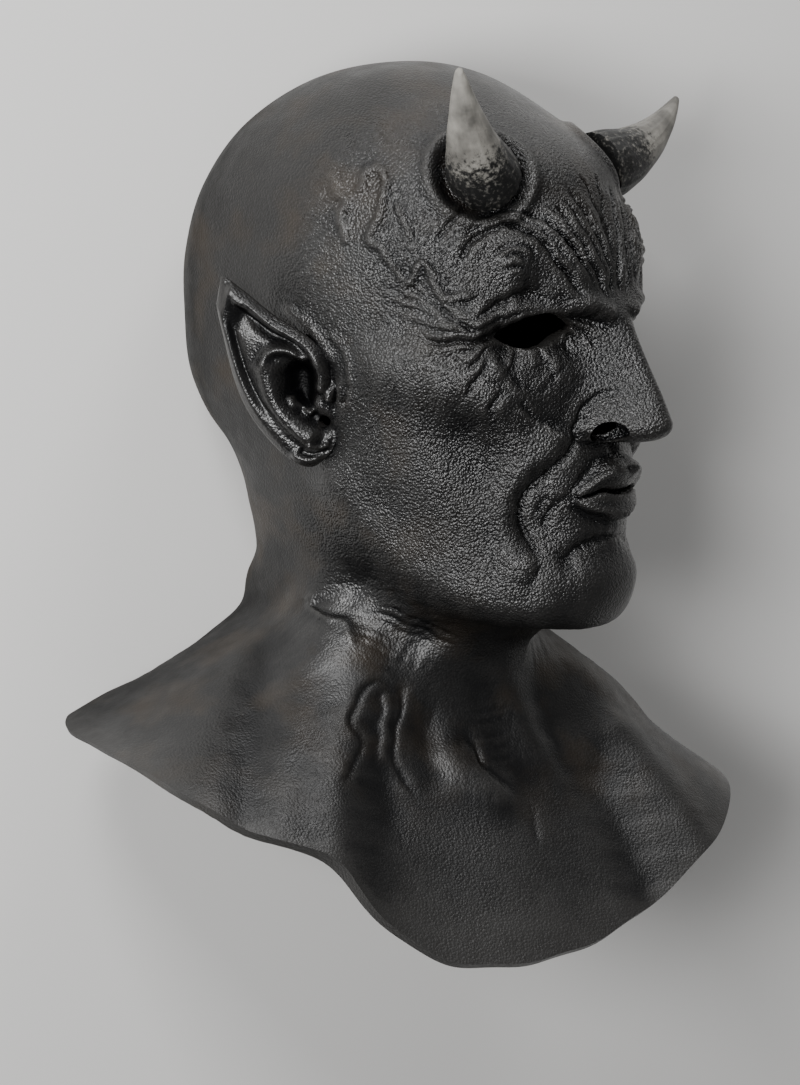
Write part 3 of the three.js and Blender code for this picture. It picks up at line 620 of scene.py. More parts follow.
def lining_shell():
    """The inside from the crown to past the rim, carried on and closed at a point below it."""
    azimuth = columns_at(LINING_COLUMNS)[None, :]
    rows = rows_at(LINING_ROWS, RIM + 0.4)[1:, None]
    inside = lining_points(azimuth, rows)
    edge = inside[-1:] + (inside[-1:] - inside[-2:-1])
    rings = laid_down(np.concatenate([inside, edge]))
    crown = laid_down(lining_points(np.zeros(1), np.zeros(1))[0])
    below = laid_down([0, LINING_END, TURN_AXIS_Z])
    return closed_mesh("lining", pressed_flat(rings, WALL), crown, below)


def baked(piece):
    """Replaces a piece's mesh by what its modifiers make of it."""
    depsgraph = bpy.context.evaluated_depsgraph_get()
    mesh = bpy.data.meshes.new_from_object(piece.evaluated_get(depsgraph))
    piece.modifiers.clear()
    piece.data = mesh


def combined(piece, tools, operation):
    """Joins closed tools to a piece or cuts them out of it, and removes them."""
    for tool in tools:
        step = piece.modifiers.new("step", "BOOLEAN")
        step.operation = operation
        step.solver = "MANIFOLD"
        step.object = tool
    bpy.context.view_layer.update()
    baked(piece)
    for tool in tools:
        bpy.data.objects.remove(tool)


skin = skin_shell()
lining = lining_shell()

# The ears.
# Long pointed ears, cast in one with the skin. Each is a plate that stands off the head toward its
# back edge, with a rolled rim, a bowl, and a flap in front of the ear canal.
EAR_OPENING = np.array([77, 90, -5])
EAR_SPREAD = math.radians(22)  # of the back edge, out from the head
EAR_FLARE = math.radians(8)  # of the tip
EAR_THICKNESS = 5
EAR_ROOT_REACH, EAR_ROOT_WIDTH = 15, 19
EAR_COLUMNS, EAR_FACE_ROWS, EAR_BACK_ROWS = 240, 76, 16
# The outline as (forward, up), from the tip over the front, the lobe and the back edge.
EAR_OUTLINE = [
    (-43, 63), (-33.5, 57.5), (-20.5, 47), (-5.5, 37.5), (5.5, 26), (7, 12.5), (6, -1),
    (3.5, -12), (-6, -20), (-17.5, -15.5), (-31, 0), (-38.5, 16.5), (-43, 37), (-45.5, 52),
]
EAR_MIDDLE = np.array([-17, 18])
EAR_FORMS = [
    # rolled rim: down the front into the bowl, and down the back to the lobe
    ridge(4.5, 3.3, [
        (-41, 60), (-33.6, 53.4), (-25.8, 47.9), (-17.2, 42.3), (-10.3, 38.5), (-5.2, 33.8),
        (-1.8, 28.6), (0.6, 23.3), (0.6, 17.2), (-2, 12),
    ], 0.06, 2.6),
    ridge(1.6, 2.3, [
        (-42, 58), (-42, 46), (-40, 36), (-37.3, 26), (-34, 16), (-28.5, 5.5), (-22, -3.5),
        (-15.5, -10.5), (-9, -14.5), (-2, -15.5),
    ], 0.06, 2.6),
    # grooves inside the rim
    ridge(-3.8, 2.8, [
        (-38, 51), (-32.9, 47.7), (-27.8, 43.7), (-21.8, 39), (-15.7, 36.3), (-9.6, 33.4),
        (-5.3, 29.5), (-3, 25.5),
    ], 0.18),
    ridge(-1.2, 1.7, [
        (-39, 53), (-38, 45.5), (-36.6, 35), (-34, 24.4), (-30, 14.8), (-24, 6.1), (-17.5, -1.7),
        (-11, -8.2), (-6, -12.5),
    ], 0.08),
    # fold above the bowl, and the long fold down behind it
    ridge(3.4, 2.5, [
        (-26, 24), (-23.5, 29.3), (-19.5, 32), (-14, 32.4), (-9.3, 30), (-5, 26.5),
    ], 0.12),
    ridge(4.5, 5.4, [
        (-25, 29), (-24, 23), (-22.5, 16), (-20.5, 10), (-17, 3.5), (-12, -2), (-6, -6.5), (0, -8),
    ], 0.12, 2.6),
    # bowl, the way down to the canal, and the fold that runs in between them
    ridge(-9.5, 6.6, [(-9.5, 20), (-9.5, 14)], 0, 2.6),
    ridge(-5, 3.6, [(-8, 6), (-4, 2), (0.5, -1)], 0, 2.4),
    ridge(4, 1.9, [(-14, 13), (-12, 9), (-8, 6), (-3.7, 2.8)], 0.15, 2.2),
    # flap in front of the canal
    ridge(5, 2.2, [(3, 9), (4.7, 13), (7, 16), (9, 18)], 0.1, 2.4),
    # lobe
    ridge(2.5, 1.6, [(-14.9, -12.7), (-10.6, -15.5), (-5.3, -16.8), (-0.3, -15.5)], 0.2),
    ridge(-2, 1.1, [(-11, -12), (-5.2, -13.8), (0.2, -12.6), (3.5, -11)], 0.15),
    ridge(2.4, 1.4, [(-6.5, -9.5), (-1.5, -10.6), (3.4, -9.6)], 0.15),
]


def even_steps(outline, count):
    """So many points evenly spaced by length round a smooth closed curve."""
    points = np.asarray(outline, float)
    loop = through(np.concatenate([points[-2:], points, points[:2]]), 12)[24:-24]
    reached = np.concatenate([[0], np.cumsum(np.linalg.norm(np.diff(loop, axis=0), axis=1))])
    at = np.linspace(0, reached[-1], count, endpoint=False)
    return np.stack([np.interp(at, reached, loop[:, k]) for k in range(2)], -1)


def ear_relief(points):
    """The summed height of the ear's features at places on its plate."""
    total = np.zeros(len(points))
    for path, reach, height in EAR_FORMS:
        distance, along, run, miss = nearest_on(through(path), points)
        side = run[:, 0] * miss[:, 1] - run[:, 1] * miss[:, 0]
        total += np.where(distance < reach, height(distance, along, side), 0)
    return total


def in_head(forward_up_out, side):
    """From an ear's own axes to the lying mask, on its left for side 1 and its right for -1."""
    outward = np.array([math.cos(EAR_SPREAD), 0, math.sin(EAR_SPREAD)])
    forward = np.array([-math.sin(EAR_SPREAD), 0, math.cos(EAR_SPREAD)])
    upward = np.array([0, 1, 0]) * math.cos(EAR_FLARE) + outward * math.sin(EAR_FLARE)
    axes = np.stack([forward, upward, np.cross(upward, forward)])
    return on_head(EAR_OPENING + forward_up_out @ axes, side)


def ear_face(shares):
    """The plate as rings, at these shares of the way from its middle to the outline, with the
    height of its face: half the thickness, a rim near the edge, and the relief. Toward the cheek
    the plate runs into the head."""
    outline = even_steps(EAR_OUTLINE, EAR_COLUMNS)
    flat = EAR_MIDDLE + shares[:, None, None] * (outline - EAR_MIDDLE)
    edge = np.linalg.norm(outline - flat, axis=-1)
    lift = ear_relief(flat.reshape(-1, 2)).reshape(edge.shape)
    merge = smooth(flat[..., 0], -3, 6) * (1 - smooth(flat[..., 1], 20, 32))
    return flat, (EAR_THICKNESS / 2 + 1.2 * bell(edge - 3, 2.6)) * (1 - merge) + lift


def ear(side):
    """Rings that grow from a point to the outline on the face and shrink to a point on the back,
    which swells into the root of the ear. The edge is rounded."""
    front = np.linspace(0.02, 1, EAR_FACE_ROWS) ** 0.8
    back = np.linspace(0.94, 0.04, EAR_BACK_ROWS)
    shares = np.concatenate([front, back])
    flat, face = ear_face(shares)
    rounding = np.sqrt(np.maximum(1 - shares[:, None] ** 6, 0))
    stem = np.hypot(flat[..., 0] + 6, flat[..., 1] - 10)
    behind = -EAR_THICKNESS / 2 - EAR_ROOT_REACH * bell(stem, EAR_ROOT_WIDTH)
    on_face = np.arange(len(shares))[:, None] < EAR_FACE_ROWS
    out = rounding * np.where(on_face, face, behind)
    rings = np.concatenate([flat, out[..., None]], -1)
    ends = [np.append(EAR_MIDDLE, out[0].mean()), np.append(EAR_MIDDLE, out[-1].mean())]
    return closed_mesh("ear", in_head(rings, side), *(in_head(end, side) for end in ends))


# The outside is kept as it is now, to cut the roots of the horns later.
outer_form = skin.copy()
outer_form.data = skin.data.copy()
combined(skin, [ear(1), ear(-1)], "UNION")
combined(skin, [lining], "DIFFERENCE")

# The openings.
# Cut by hand after casting: an almond through the lids of each eye, a hole up into each nostril
# and one into each ear.
EYE_PLACE = np.array([33, 130, 70])
EYE_TURN = math.radians(20)
EYE_HALF_WIDTH = 18.5
EYE_SLANT = 2  # how much lower the outer corner lies than the middle
EYE_ARCH, EYE_SAG = 8, 7.5  # of the upper and the lower edge
NOSTRIL_PLACE, NOSTRIL_RADII = np.array([13.5, 86.5, 99]), np.array([5.8, 5.6, 11])
CANAL_RADIUS = 2.7
CUT_DEPTH = 30  # each way


def eye_cutter(side):
    """An almond of two parabolas, carried straight back through the skin."""
    s = np.linspace(-1, 1, 28, endpoint=False)
    upper = np.stack([EYE_HALF_WIDTH * s, EYE_ARCH * (1 - s**2) - EYE_SLANT * s], -1)
    lower = np.stack([-EYE_HALF_WIDTH * s, EYE_SLANT * s - EYE_SAG * (1 - s**2)], -1)
    almond = np.concatenate([upper, lower])
    depths = np.linspace(-CUT_DEPTH, CUT_DEPTH, 4)
    rings = np.stack([np.column_stack([almond, np.full(len(almond), d)]) for d in depths])
    ends = np.array([[0, 0, -CUT_DEPTH], [0, 0, CUT_DEPTH]])

    def place(points):
        x, y, z = np.moveaxis(points, -1, 0)
        across = x * math.cos(EYE_TURN) + z * math.sin(EYE_TURN)
        ahead = z * math.cos(EYE_TURN) - x * math.sin(EYE_TURN)
        return on_head(np.stack([across, y, ahead], -1) + EYE_PLACE, side)

    return closed_mesh("eye", place(rings), *place(ends))


def canal_cutter(side):
    """A round hole from the bowl of the ear into the head."""
    angle = np.radians(np.arange(0, 360, 15))
    ring = CANAL_RADIUS * np.stack([np.cos(angle), np.sin(angle)], -1)
    depths = (-CUT_DEPTH, CUT_DEPTH)
    rings = np.stack([np.column_stack([ring, np.full(len(ring), d)]) for d in depths])
    ends = np.array([[0, 0, d] for d in depths])
    return closed_mesh("canal", in_head(rings, side), *in_head(ends, side))


def nostril_cutter(side):
    """An ellipsoid: rings of latitude from pole to pole."""
    latitude = np.radians(np.linspace(-80, 80, 17))[:, None]
    longitude = np.radians(np.arange(0, 360, 12))[None, :]
    ball = np.stack([
        np.cos(latitude) * np.cos(longitude),
        np.cos(latitude) * np.sin(longitude),
        np.sin(latitude) * np.ones_like(longitude),
    ], -1)
    poles = np.array([[0, 0, -1], [0, 0, 1]])
    rings, ends = (on_head(NOSTRIL_PLACE + NOSTRIL_RADII * part, side) for part in (ball, poles))
    return closed_mesh("nostril", rings, *ends)


CUTTERS = (eye_cutter, canal_cutter, nostril_cutter)
combined(skin, [cutter(side) for cutter in CUTTERS for side in (1, -1)], "DIFFERENCE")

# The mesh is thinned, and it is shaded smooth except over cut edges.
MOST_TRIANGLES = 180000
SHARP_FOLD = math.radians(75)
thinning = skin.modifiers.new("thinning", "DECIMATE")
triangles = sum(len(polygon.vertices) - 2 for polygon in skin.data.polygons)
thinning.ratio = min(1, MOST_TRIANGLES / triangles)
bpy.context.view_layer.update()
baked(skin)
skin.data.shade_smooth()
skin.data.set_sharp_from_angle(angle=SHARP_FOLD)


# The finish of the latex.
# The latex is black right through. Its colour is paler on high places and black in hollows, and the
# bowls of the ears are darkened as painted shade. The back of the head is dull and a little rusty from
# handling, and the bib is smoother than the face.
LATEX_HOLLOW, LATEX_RAISED, LATEX_RUST = "#020203", "#252423", "#33291d"
WRINKLE_SIZE, WRINKLE_DEPTH = 2.1, 0.28  # millimetres, as all sizes of a pattern
CELL_SIZE, CELL_DEPTH = 1.1, 0.46
GRAIN_SIZE, GRAIN_DEPTH = 0.95, 0.32
LUMP_SIZE, BLOTCH_SIZE = 9, 30
# Places of the lying mask in metres, each from where a change starts to where it is complete.
BIB_TO_HEAD = -0.075, -0.02  # along the mask
DULL_TO_GLOSSY, SMOOTH_TO_GRAINED, CLEAN_TO_RUSTY = (0.06, 0.14), (0.11, 0.17), (0.2, 0.15)  # up
SPREAD_ROUNDS = 14  # of averaging, to tell raised places from hollows


def from_hex(code):
    """An sRGB hex colour as linear red, green, blue and alpha."""
    parts = [int(code[k : k + 2], 16) / 255 for k in (1, 3, 5)]
    return (*[p / 12.92 if p <= 0.04045 else ((p + 0.055) / 1.055) ** 2.4 for p in parts], 1.0)


def add_node(tree, kind, links=None, **settings):
    """Adds a node. Settings named like a socket set the socket, and others the node itself."""
    node = tree.nodes.new(kind)
    for name, value in settings.items():
        if hasattr(node, name):
            setattr(node, name, value)
        else:
            node.inputs[name.replace("_", " ")].default_value = value
    for socket, source in (links or {}).items():
        tree.links.new(source, node.inputs[socket])
    return node


def per_metre(size):
    """The scale of a pattern that repeats after so many millimetres."""
    return 1000 / size


def store(piece, name, values):
    """Keeps one number for each vertex, which the material reads."""
    attribute = piece.data.attributes.new(name, "FLOAT", "POINT")
    attribute.data.foreach_set("value", np.asarray(values, np.float32))


def bulge(piece, rounds):
    """How far each vertex stands out of the average of its surroundings, in millimetres. The
    average spreads over the edges, one edge further for each round."""
    mesh = piece.data
    count = len(mesh.vertices)
    points, normals = np.empty(count * 3), np.empty(count * 3)
    mesh.vertices.foreach_get("co", points)
    mesh.vertices.foreach_get("normal", normals)
    edges = np.empty(len(mesh.edges) * 2, int)
    mesh.edges.foreach_get("vertices", edges)
    points, normals = points.reshape(-1, 3) / MILLIMETRE, normals.reshape(-1, 3)
    here, there = edges.reshape(-1, 2).T
    links = np.bincount(here, minlength=count) + np.bincount(there, minlength=count)
    even = points.copy()
    for _ in range(rounds):
        total = np.empty_like(even)
        for k in range(3):
            total[:, k] = np.bincount(here, even[there, k], count)
            total[:, k] += np.bincount(there, even[here, k], count)
        even = 0.5 * even + 0.5 * total / np.maximum(links, 1)[:, None]
    return ((points - even) * normals).sum(1)


def nearness_to_ears(piece):
    """For each vertex: 1 on the face of an ear, falling to 0 at 4 mm from it, and that times how
    deep the face lies there, from 0 just over the plate's middle to 1 at 4 mm under it."""
    flat, face = ear_face(np.linspace(0.05, 1, 40))
    points = np.concatenate([flat, face[..., None]], -1).reshape(-1, 3)
    tree = KDTree(2 * len(points))
    places = np.concatenate([in_head(points, side) for side in (1, -1)])
    for index, place in enumerate(places * MILLIMETRE):
        tree.insert(place, index)
    tree.balance()
    depths = -np.tile(face.ravel(), 2)
    found = [tree.find(vertex.co) for vertex in piece.data.vertices]
    away = np.array([distance for _, _, distance in found]) / MILLIMETRE
    near = 1 - smooth(away, 1.5, 4)
    return near, near * smooth(depths[[index for _, index, _ in found]], -0.5, 4)


def latex():
    """Where the mesh stands out the colour is paler, as far as the grain lets it, and hollows stay
    black. The bowls of the ears are darkened further, as painted shade. Rust comes in blotches on the
    back of the head, off the ears.
    Three patterns raise the surface, one on another: drawn wrinkles, cells and fine grain."""
    material = bpy.data.materials.new("black_latex")
    material.use_nodes = True
    tree = material.node_tree
    shader = tree.nodes["Principled BSDF"]
    place = add_node(tree, "ShaderNodeTexCoord").outputs["Object"]
    apart = add_node(tree, "ShaderNodeSeparateXYZ", {"Vector": place}).outputs
    stands = add_node(tree, "ShaderNodeAttribute", attribute_name="bulge").outputs["Fac"]
    on_ear = add_node(tree, "ShaderNodeAttribute", attribute_name="ear").outputs["Fac"]
    bowl_shade = add_node(tree, "ShaderNodeAttribute", attribute_name="bowl").outputs["Fac"]

    # the patterns
    drawn = add_node(
        tree, "ShaderNodeMapping", {"Vector": place}, vector_type="TEXTURE",
        Rotation=(-math.pi / 4, 0, 0), Scale=(1, 4, 1),
    )
    wrinkles = add_node(
        tree, "ShaderNodeTexNoise", {"Vector": drawn.outputs["Vector"]},
        Scale=per_metre(WRINKLE_SIZE), Detail=3.0, Roughness=0.6,
    )
    cells = add_node(
        tree, "ShaderNodeTexVoronoi", {"Vector": place}, Scale=per_metre(CELL_SIZE),
    )
    grain = add_node(
        tree, "ShaderNodeTexNoise", {"Vector": place},
        Scale=per_metre(GRAIN_SIZE), Detail=3.0, Roughness=0.6,
    )
    lumps = add_node(
        tree, "ShaderNodeTexNoise", {"Vector": place}, Scale=per_metre(LUMP_SIZE), Detail=3.0,
    )
    blotches = add_node(
        tree, "ShaderNodeTexNoise", {"Vector": place}, Scale=per_metre(BLOTCH_SIZE), Detail=5.0,
    )

    # the colour
    # the tone: paler where the mesh stands out of its surroundings, and black in hollows
    raised = add_node(
        tree, "ShaderNodeMapRange", {"Value": stands}, From_Min=-0.5, From_Max=0.9,
    )
    # painted shade: the depth under each ear's plate is taken off, so the bowls of the ears stay black
    reached = add_node(
        tree, "ShaderNodeMath", {0: raised.outputs["Result"], 1: bowl_shade}, operation="SUBTRACT",
    )
    pale_share = add_node(
        tree, "ShaderNodeMath", {0: reached.outputs["Value"], 1: grain.outputs["Fac"]},
        operation="MULTIPLY",
    )
    tone = add_node(tree, "ShaderNodeValToRGB", {"Fac": pale_share.outputs["Value"]})
    tone.color_ramp.elements[0].position = 0.1
    tone.color_ramp.elements[0].color = from_hex(LATEX_HOLLOW)
    tone.color_ramp.elements[1].position = 0.4
    tone.color_ramp.elements[1].color = from_hex(LATEX_RAISED)
    rust = add_node(
        tree, "ShaderNodeMapRange", {"Value": blotches.outputs["Fac"]},
        From_Min=0.48, From_Max=0.68, To_Max=0.55,
    )
    back_of_head = add_node(
        tree, "ShaderNodeMapRange", {"Value": apart["Z"]},
        From_Min=CLEAN_TO_RUSTY[0], From_Max=CLEAN_TO_RUSTY[1],
    )
    off_ear = add_node(tree, "ShaderNodeMapRange", {"Value": on_ear}, To_Min=1.0, To_Max=0.0)
    rust_behind = add_node(
        tree, "ShaderNodeMath", {0: rust.outputs["Result"], 1: back_of_head.outputs["Result"]},
        operation="MULTIPLY",
    )
    rusty = add_node(
        tree, "ShaderNodeMath", {0: rust_behind.outputs["Value"], 1: off_ear.outputs["Result"]},
        operation="MULTIPLY",
    )
    colour = add_node(
        tree, "ShaderNodeMix", {"Factor": rusty.outputs["Value"], 6: tone.outputs["Color"]},
        data_type="RGBA",
    )
    colour.inputs[7].default_value = from_hex(LATEX_RUST)
    tree.links.new(colour.outputs[2], shader.inputs["Base Color"])

    # the sheen: duller on the bib, toward the back of the head and in the bowls of the ears
    uneven = add_node(
        tree, "ShaderNodeMapRange", {"Value": lumps.outputs["Fac"]},
        From_Min=0.3, From_Max=0.7, To_Min=-0.05, To_Max=0.05,
    )
    head = add_node(
        tree, "ShaderNodeMapRange", {"Value": apart["Y"]},
        From_Min=BIB_TO_HEAD[0], From_Max=BIB_TO_HEAD[1],
    )
    dull_bib = add_node(
        tree, "ShaderNodeMapRange", {"Value": head.outputs["Result"]}, To_Min=0.13, To_Max=0.0,
    )
    dull_back = add_node(
        tree, "ShaderNodeMapRange", {"Value": apart["Z"]},
        From_Min=DULL_TO_GLOSSY[0], From_Max=DULL_TO_GLOSSY[1], To_Min=0.5, To_Max=0.29,
    )
    dull = add_node(
        tree, "ShaderNodeMath", {0: dull_bib.outputs["Result"], 1: dull_back.outputs["Result"]},
        operation="ADD",
    )
    dull_uneven = add_node(
        tree, "ShaderNodeMath", {0: uneven.outputs["Result"], 1: dull.outputs["Value"]},
        operation="ADD",
    )
    roughness = add_node(
        tree, "ShaderNodeMath", {0: bowl_shade, 2: dull_uneven.outputs["Value"]},
        operation="MULTIPLY_ADD",
    )
    roughness.inputs[1].default_value = 0.15
    tree.links.new(roughness.outputs["Value"], shader.inputs["Roughness"])
    shine = add_node(
        tree, "ShaderNodeMapRange", {"Value": apart["Z"]},
        From_Min=DULL_TO_GLOSSY[0], From_Max=DULL_TO_GLOSSY[1], To_Min=0.06, To_Max=0.66,
    )
    out_of_bowl = add_node(
        tree, "ShaderNodeMapRange", {"Value": bowl_shade}, To_Min=1.0, To_Max=0.2,
    )
    specular = add_node(
        tree, "ShaderNodeMath", {0: shine.outputs["Result"], 1: out_of_bowl.outputs["Result"]},
        operation="MULTIPLY",
    )
    tree.links.new(specular.outputs["Value"], shader.inputs["Specular IOR Level"])

    # the raised grain: weaker on the bib, on the ears and toward the back of the head
    weak_bib = add_node(
        tree, "ShaderNodeMapRange", {"Value": head.outputs["Result"]}, To_Min=0.35, To_Max=1.0,
    )
    weak_ear = add_node(tree, "ShaderNodeMapRange", {"Value": on_ear}, To_Min=1.0, To_Max=0.6)
    weak_back = add_node(
        tree, "ShaderNodeMapRange", {"Value": apart["Z"]},
        From_Min=SMOOTH_TO_GRAINED[0], From_Max=SMOOTH_TO_GRAINED[1], To_Min=0.4, To_Max=1.0,
    )
    bib_and_ear = add_node(
        tree, "ShaderNodeMath", {0: weak_bib.outputs["Result"], 1: weak_ear.outputs["Result"]},
        operation="MULTIPLY",
    )
    strength = add_node(
        tree, "ShaderNodeMath", {0: bib_and_ear.outputs["Value"], 1: weak_back.outputs["Result"]},
        operation="MULTIPLY",
    ).outputs["Value"]
    wrinkled = add_node(
        tree, "ShaderNodeBump", {"Height": wrinkles.outputs["Fac"], "Strength": strength},
        Distance=WRINKLE_DEPTH * MILLIMETRE,
    ).outputs["Normal"]
    pebbled = add_node(
        tree, "ShaderNodeBump",
        {"Height": cells.outputs["Distance"], "Strength": strength, "Normal": wrinkled},
        invert=True, Distance=CELL_DEPTH * MILLIMETRE,
    ).outputs["Normal"]
    grained = add_node(
        tree, "ShaderNodeBump",
        {"Height": grain.outputs["Fac"], "Strength": strength, "Normal": pebbled},
        Distance=GRAIN_DEPTH * MILLIMETRE,
    ).outputs["Normal"]
    tree.links.new(grained, shader.inputs["Normal"])
    return material


def finished(piece, material):
    """Gives every face of a piece the one material."""
    piece.data.materials.clear()
    piece.data.materials.append(material)
    piece.data.polygons.foreach_set("material_index", np.zeros(len(piece.data.polygons), int))


finished(skin, latex())
store(skin, "bulge", bulge(skin, SPREAD_ROUNDS))
# the bowl value is painted shade, which darkens the bowls of the ears
for name, values in zip(("ear", "bowl"), nearness_to_ears(skin)):
    store(skin, name, values)
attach(skin, "root")
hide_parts("mask_skin")

# The horns.
# Two round horns of hard resin, cast in worn ivory and rubbed black at the root. Each is glued into
# a socket on the forehead, and the two were set by hand and differ.
HORN_SINK = 7
HORN_ROOT_RADIUS = 13.5
HORN_TIP_RADIUS = 2
HORN_TIP_LENGTH = 1.5  # of the rounded end
HORN_SHOWS_FROM = 8  # away from the middle of the seat
HORN_ROWS, HORN_COLUMNS = 70, 96
SHARP_RIM = math.radians(50)
IVORY_SHADED, IVORY_PALE, HORN_BLACK = "#55534f", "#96938c", "#141414"
SPECK_SIZE, CLOUD_SIZE, PIT_DEPTH = 2.2, 11, 0.5
# The side, then the point that the horn bends toward and its tip, both from its seat.
HORNS = {
    "left_horn": (1, [31, 5, 4], [50, 27, 5]),
    "right_horn": (-1, [25, 13, 9], [38, 42, 14]),
}


def horn(name, side, bend, tip):
    """Rings round a curve p = 2t(1-t)bend + t²tip, of radius root (1-t)^0.85 + tip radius, closed
    by a rounded end. Faint lengthwise flutes and lumps fade out toward the tip."""
    bend, tip = np.array(bend, float), np.array(tip, float)
    t = np.linspace(0, 1, HORN_ROWS)[:, None]
    curve = 2 * t * (1 - t) * bend + t**2 * tip
    run = 2 * (1 - t) * bend + 2 * t * (tip - bend)
    run = run / np.linalg.norm(run, axis=1, keepdims=True)
    sideways = np.cross([0, 0, 1.0], run[0])
    sideways = sideways / np.linalg.norm(sideways)
    across = np.cross(sideways, run)
    across = across / np.linalg.norm(across, axis=1, keepdims=True)
    angle = np.linspace(0, 2 * math.pi, HORN_COLUMNS, endpoint=False)
    around = np.cos(angle)[:, None] * sideways + np.sin(angle)[:, None] * across[:, None]
    radius = HORN_ROOT_RADIUS * (1 - t) ** 0.85 + HORN_TIP_RADIUS
    flutes = 0.16 * np.sin(17 * angle + 4 * t) + 0.12 * np.sin(29 * angle - 6 * t + 1)
    lumps = 0.3 * np.sin(3 * angle + 9 * t) * np.sin(11 * t + 2 * np.cos(angle))
    radius = radius + (flutes + lumps) * (1 - t)
    body = curve[:, None] + radius[..., None] * around
    root = body[:1] - HORN_SINK * run[0]
    latitude = np.radians([22, 45, 68])[:, None, None]
    cap = curve[-1] + HORN_TIP_LENGTH * np.sin(latitude) * run[-1]
    cap = cap + HORN_TIP_RADIUS * np.cos(latitude) * around[-1]
    rings = HORN_SEAT + np.concatenate([root, body, cap])
    foot = HORN_SEAT - HORN_SINK * run[0]
    point = HORN_SEAT + curve[-1] + HORN_TIP_LENGTH * run[-1]
    return closed_mesh(name, *(on_head(part, side) for part in (rings, foot, point)))


def worn_horn():
    """Clouded grey ivory with fine pits. It is black where a speckle added to the share of the
    horn's reach stays low, so the root is black and breaks up into specks."""
    material = bpy.data.materials.new("ivory_resin")
    material.use_nodes = True
    tree = material.node_tree
    shader = tree.nodes["Principled BSDF"]
    place = add_node(tree, "ShaderNodeTexCoord").outputs["Object"]
    along = add_node(tree, "ShaderNodeAttribute", attribute_name="along").outputs["Fac"]
    specks = add_node(
        tree, "ShaderNodeTexNoise", {"Vector": place},
        Scale=per_metre(SPECK_SIZE), Detail=6.0, Roughness=0.7,
    )
    cloud = add_node(
        tree, "ShaderNodeTexNoise", {"Vector": place}, Scale=per_metre(CLOUD_SIZE), Detail=3.0,
    )
    tone = add_node(tree, "ShaderNodeValToRGB", {"Fac": cloud.outputs["Fac"]})
    tone.color_ramp.elements[0].position = 0.3
    tone.color_ramp.elements[0].color = from_hex(IVORY_SHADED)
    tone.color_ramp.elements[1].position = 0.7
    tone.color_ramp.elements[1].color = from_hex(IVORY_PALE)
    level = add_node(tree, "ShaderNodeMath", {0: along, 1: specks.outputs["Fac"]}, operation="ADD")
    black = add_node(
        tree, "ShaderNodeMapRange", {"Value": level.outputs["Value"]},
        From_Min=0.69, From_Max=0.84, To_Min=1.0, To_Max=0.0,
    )
    colour = add_node(
        tree, "ShaderNodeMix", {"Factor": black.outputs["Result"], 6: tone.outputs["Color"]},
        data_type="RGBA",
    )
    colour.inputs[7].default_value = from_hex(HORN_BLACK)
    tree.links.new(colour.outputs[2], shader.inputs["Base Color"])
    shader.inputs["Roughness"].default_value = 0.5
    pits = add_node(
        tree, "ShaderNodeBump", {"Height": specks.outputs["Fac"]},
        Strength=0.7, Distance=PIT_DEPTH * MILLIMETRE,
    )
    tree.links.new(pits.outputs["Normal"], shader.inputs["Normal"])
    return material


ivory = worn_horn()
for name, (side, bend, tip) in HORNS.items():
    piece = horn(name + "_resin", side, bend, tip)
    cutter = outer_form.copy()
    bpy.context.scene.collection.objects.link(cutter)
    combined(piece, [cutter], "DIFFERENCE")
    points = np.empty(len(piece.data.vertices) * 3)
    piece.data.vertices.foreach_get("co", points)
    reach = np.linalg.norm(points.reshape(-1, 3) / MILLIMETRE - on_head(HORN_SEAT, side), axis=1)
    whole = np.linalg.norm(tip) - HORN_SHOWS_FROM
    store(piece, "along", (reach - HORN_SHOWS_FROM) / whole)
    finished(piece, ivory)
    piece.data.shade_smooth()
    piece.data.set_sharp_from_angle(angle=SHARP_RIM)
    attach(piece, "root")
    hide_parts(name)
bpy.data.objects.remove(outer_form)

# The floor, the light and the camera.
# The mask lies on a sheet of pale paper under two soft lights and a fill, and the camera looks down
# on it from where the photograph was taken: on its right and a little above its eyes.
PHOTO_WIDTH, PHOTO_HEIGHT = 800, 1085
SCALE = 0.444  # millimetres of the mask to a pixel of the photograph
CHIN_COLUMN, CHIN_ROW = 411, 613  # where the sculpt's origin, under the chin, lies in it
CAMERA_DISTANCE = 1950
CAMERA_SIDE, CAMERA_RISE = math.radians(28), math.radians(7)
SENSOR = 36
PAPER_WHITE = "#f2f1ef"
FLOOR_REACH = 4  # metres each way
FACE_MIDDLE = Vector((0, 60, 0))

to_camera = Vector((
    -math.sin(CAMERA_SIDE) * math.cos(CAMERA_RISE),
    math.sin(CAMERA_RISE),
    math.cos(CAMERA_SIDE) * math.cos(CAMERA_RISE),
))
camera_right = Vector((math.cos(CAMERA_SIDE), 0, math.sin(CAMERA_SIDE)))
camera_up = to_camera.cross(camera_right)
target = camera_right * (PHOTO_WIDTH / 2 - CHIN_COLUMN) * SCALE
target = target + camera_up * (CHIN_ROW - PHOTO_HEIGHT / 2) * SCALE
lie_down = Matrix.Rotation(-LYING_TILT, 3, "X")


def in_scene(point):
    """A point of the upright frame as a place of the scene, tipped back and in metres."""
    return (lie_down @ point - Vector(FLOOR_MIDDLE)) * MILLIMETRE


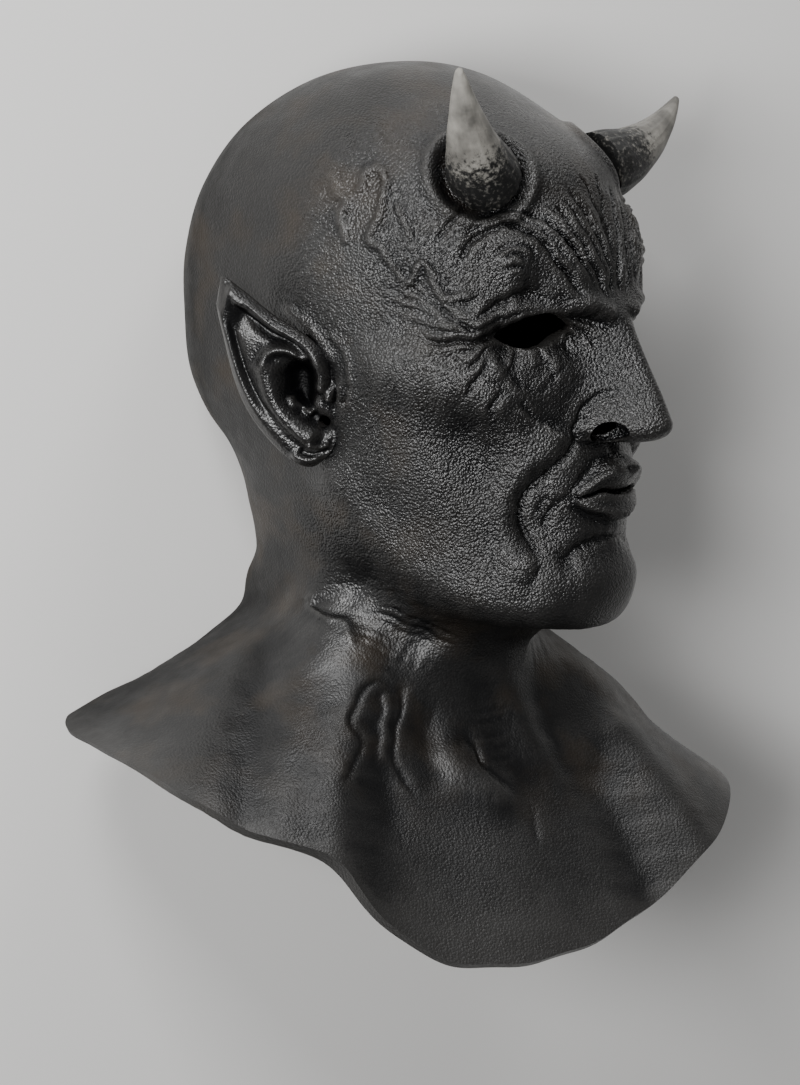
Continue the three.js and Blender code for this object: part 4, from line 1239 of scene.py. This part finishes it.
camera_data = bpy.data.cameras.new("camera")
camera_data.sensor_width = SENSOR
camera_data.lens = SENSOR * CAMERA_DISTANCE / SCALE / PHOTO_HEIGHT
camera = bpy.data.objects.new("camera", camera_data)
bpy.context.scene.collection.objects.link(camera)
axes = Matrix((lie_down @ camera_right, lie_down @ camera_up, lie_down @ to_camera)).transposed()
camera_place = in_scene(target + to_camera * CAMERA_DISTANCE)
camera.matrix_world = Matrix.Translation(camera_place) @ axes.to_4x4()
bpy.context.scene.camera = camera

floor_mesh = bpy.data.meshes.new("floor")
corners = [(FLOOR_REACH * x, FLOOR_REACH * y, 0) for x, y in ((-1, -1), (1, -1), (1, 1), (-1, 1))]
floor_mesh.from_pydata(corners, [], [(0, 1, 2, 3)])
floor = bpy.data.objects.new("floor", floor_mesh)
bpy.context.scene.collection.objects.link(floor)
paper = bpy.data.materials.new("pale_paper")
paper.use_nodes = True
paper_shader = paper.node_tree.nodes["Principled BSDF"]
paper_shader.inputs["Base Color"].default_value = from_hex(PAPER_WHITE)
paper_shader.inputs["Roughness"].default_value = 0.9
floor.data.materials.append(paper)

world = bpy.data.worlds.new("studio")
world.use_nodes = True
background = world.node_tree.nodes["Background"]
background.inputs["Color"].default_value = (1, 1, 1, 1)
background.inputs["Strength"].default_value = 0.13
bpy.context.scene.world = world


def softbox(name, right, up, toward, width, height, power):
    """A rectangular light of so many metres and watts, turned to the middle of the face. It stands
    so many metres from there to the camera's right, up, and toward the camera."""
    light = bpy.data.lights.new(name, "AREA")
    light.shape = "RECTANGLE"
    light.size, light.size_y = width, height
    light.energy = power
    lamp = bpy.data.objects.new(name, light)
    offset = lie_down @ (camera_right * right + camera_up * up + to_camera * toward)
    lamp.location = in_scene(FACE_MIDDLE) + offset
    lamp.rotation_euler = (-offset).to_track_quat("-Z", "Y").to_euler()
    bpy.context.scene.collection.objects.link(lamp)


softbox("upper_light", -0.3, 0.7, 1.3, 0.35, 0.35, 11)
softbox("middle_light", -0.45, -0.05, 1.45, 0.35, 0.6, 21)
softbox("fill_light", 0.5, 1.4, 0.6, 0.5, 0.5, 8)
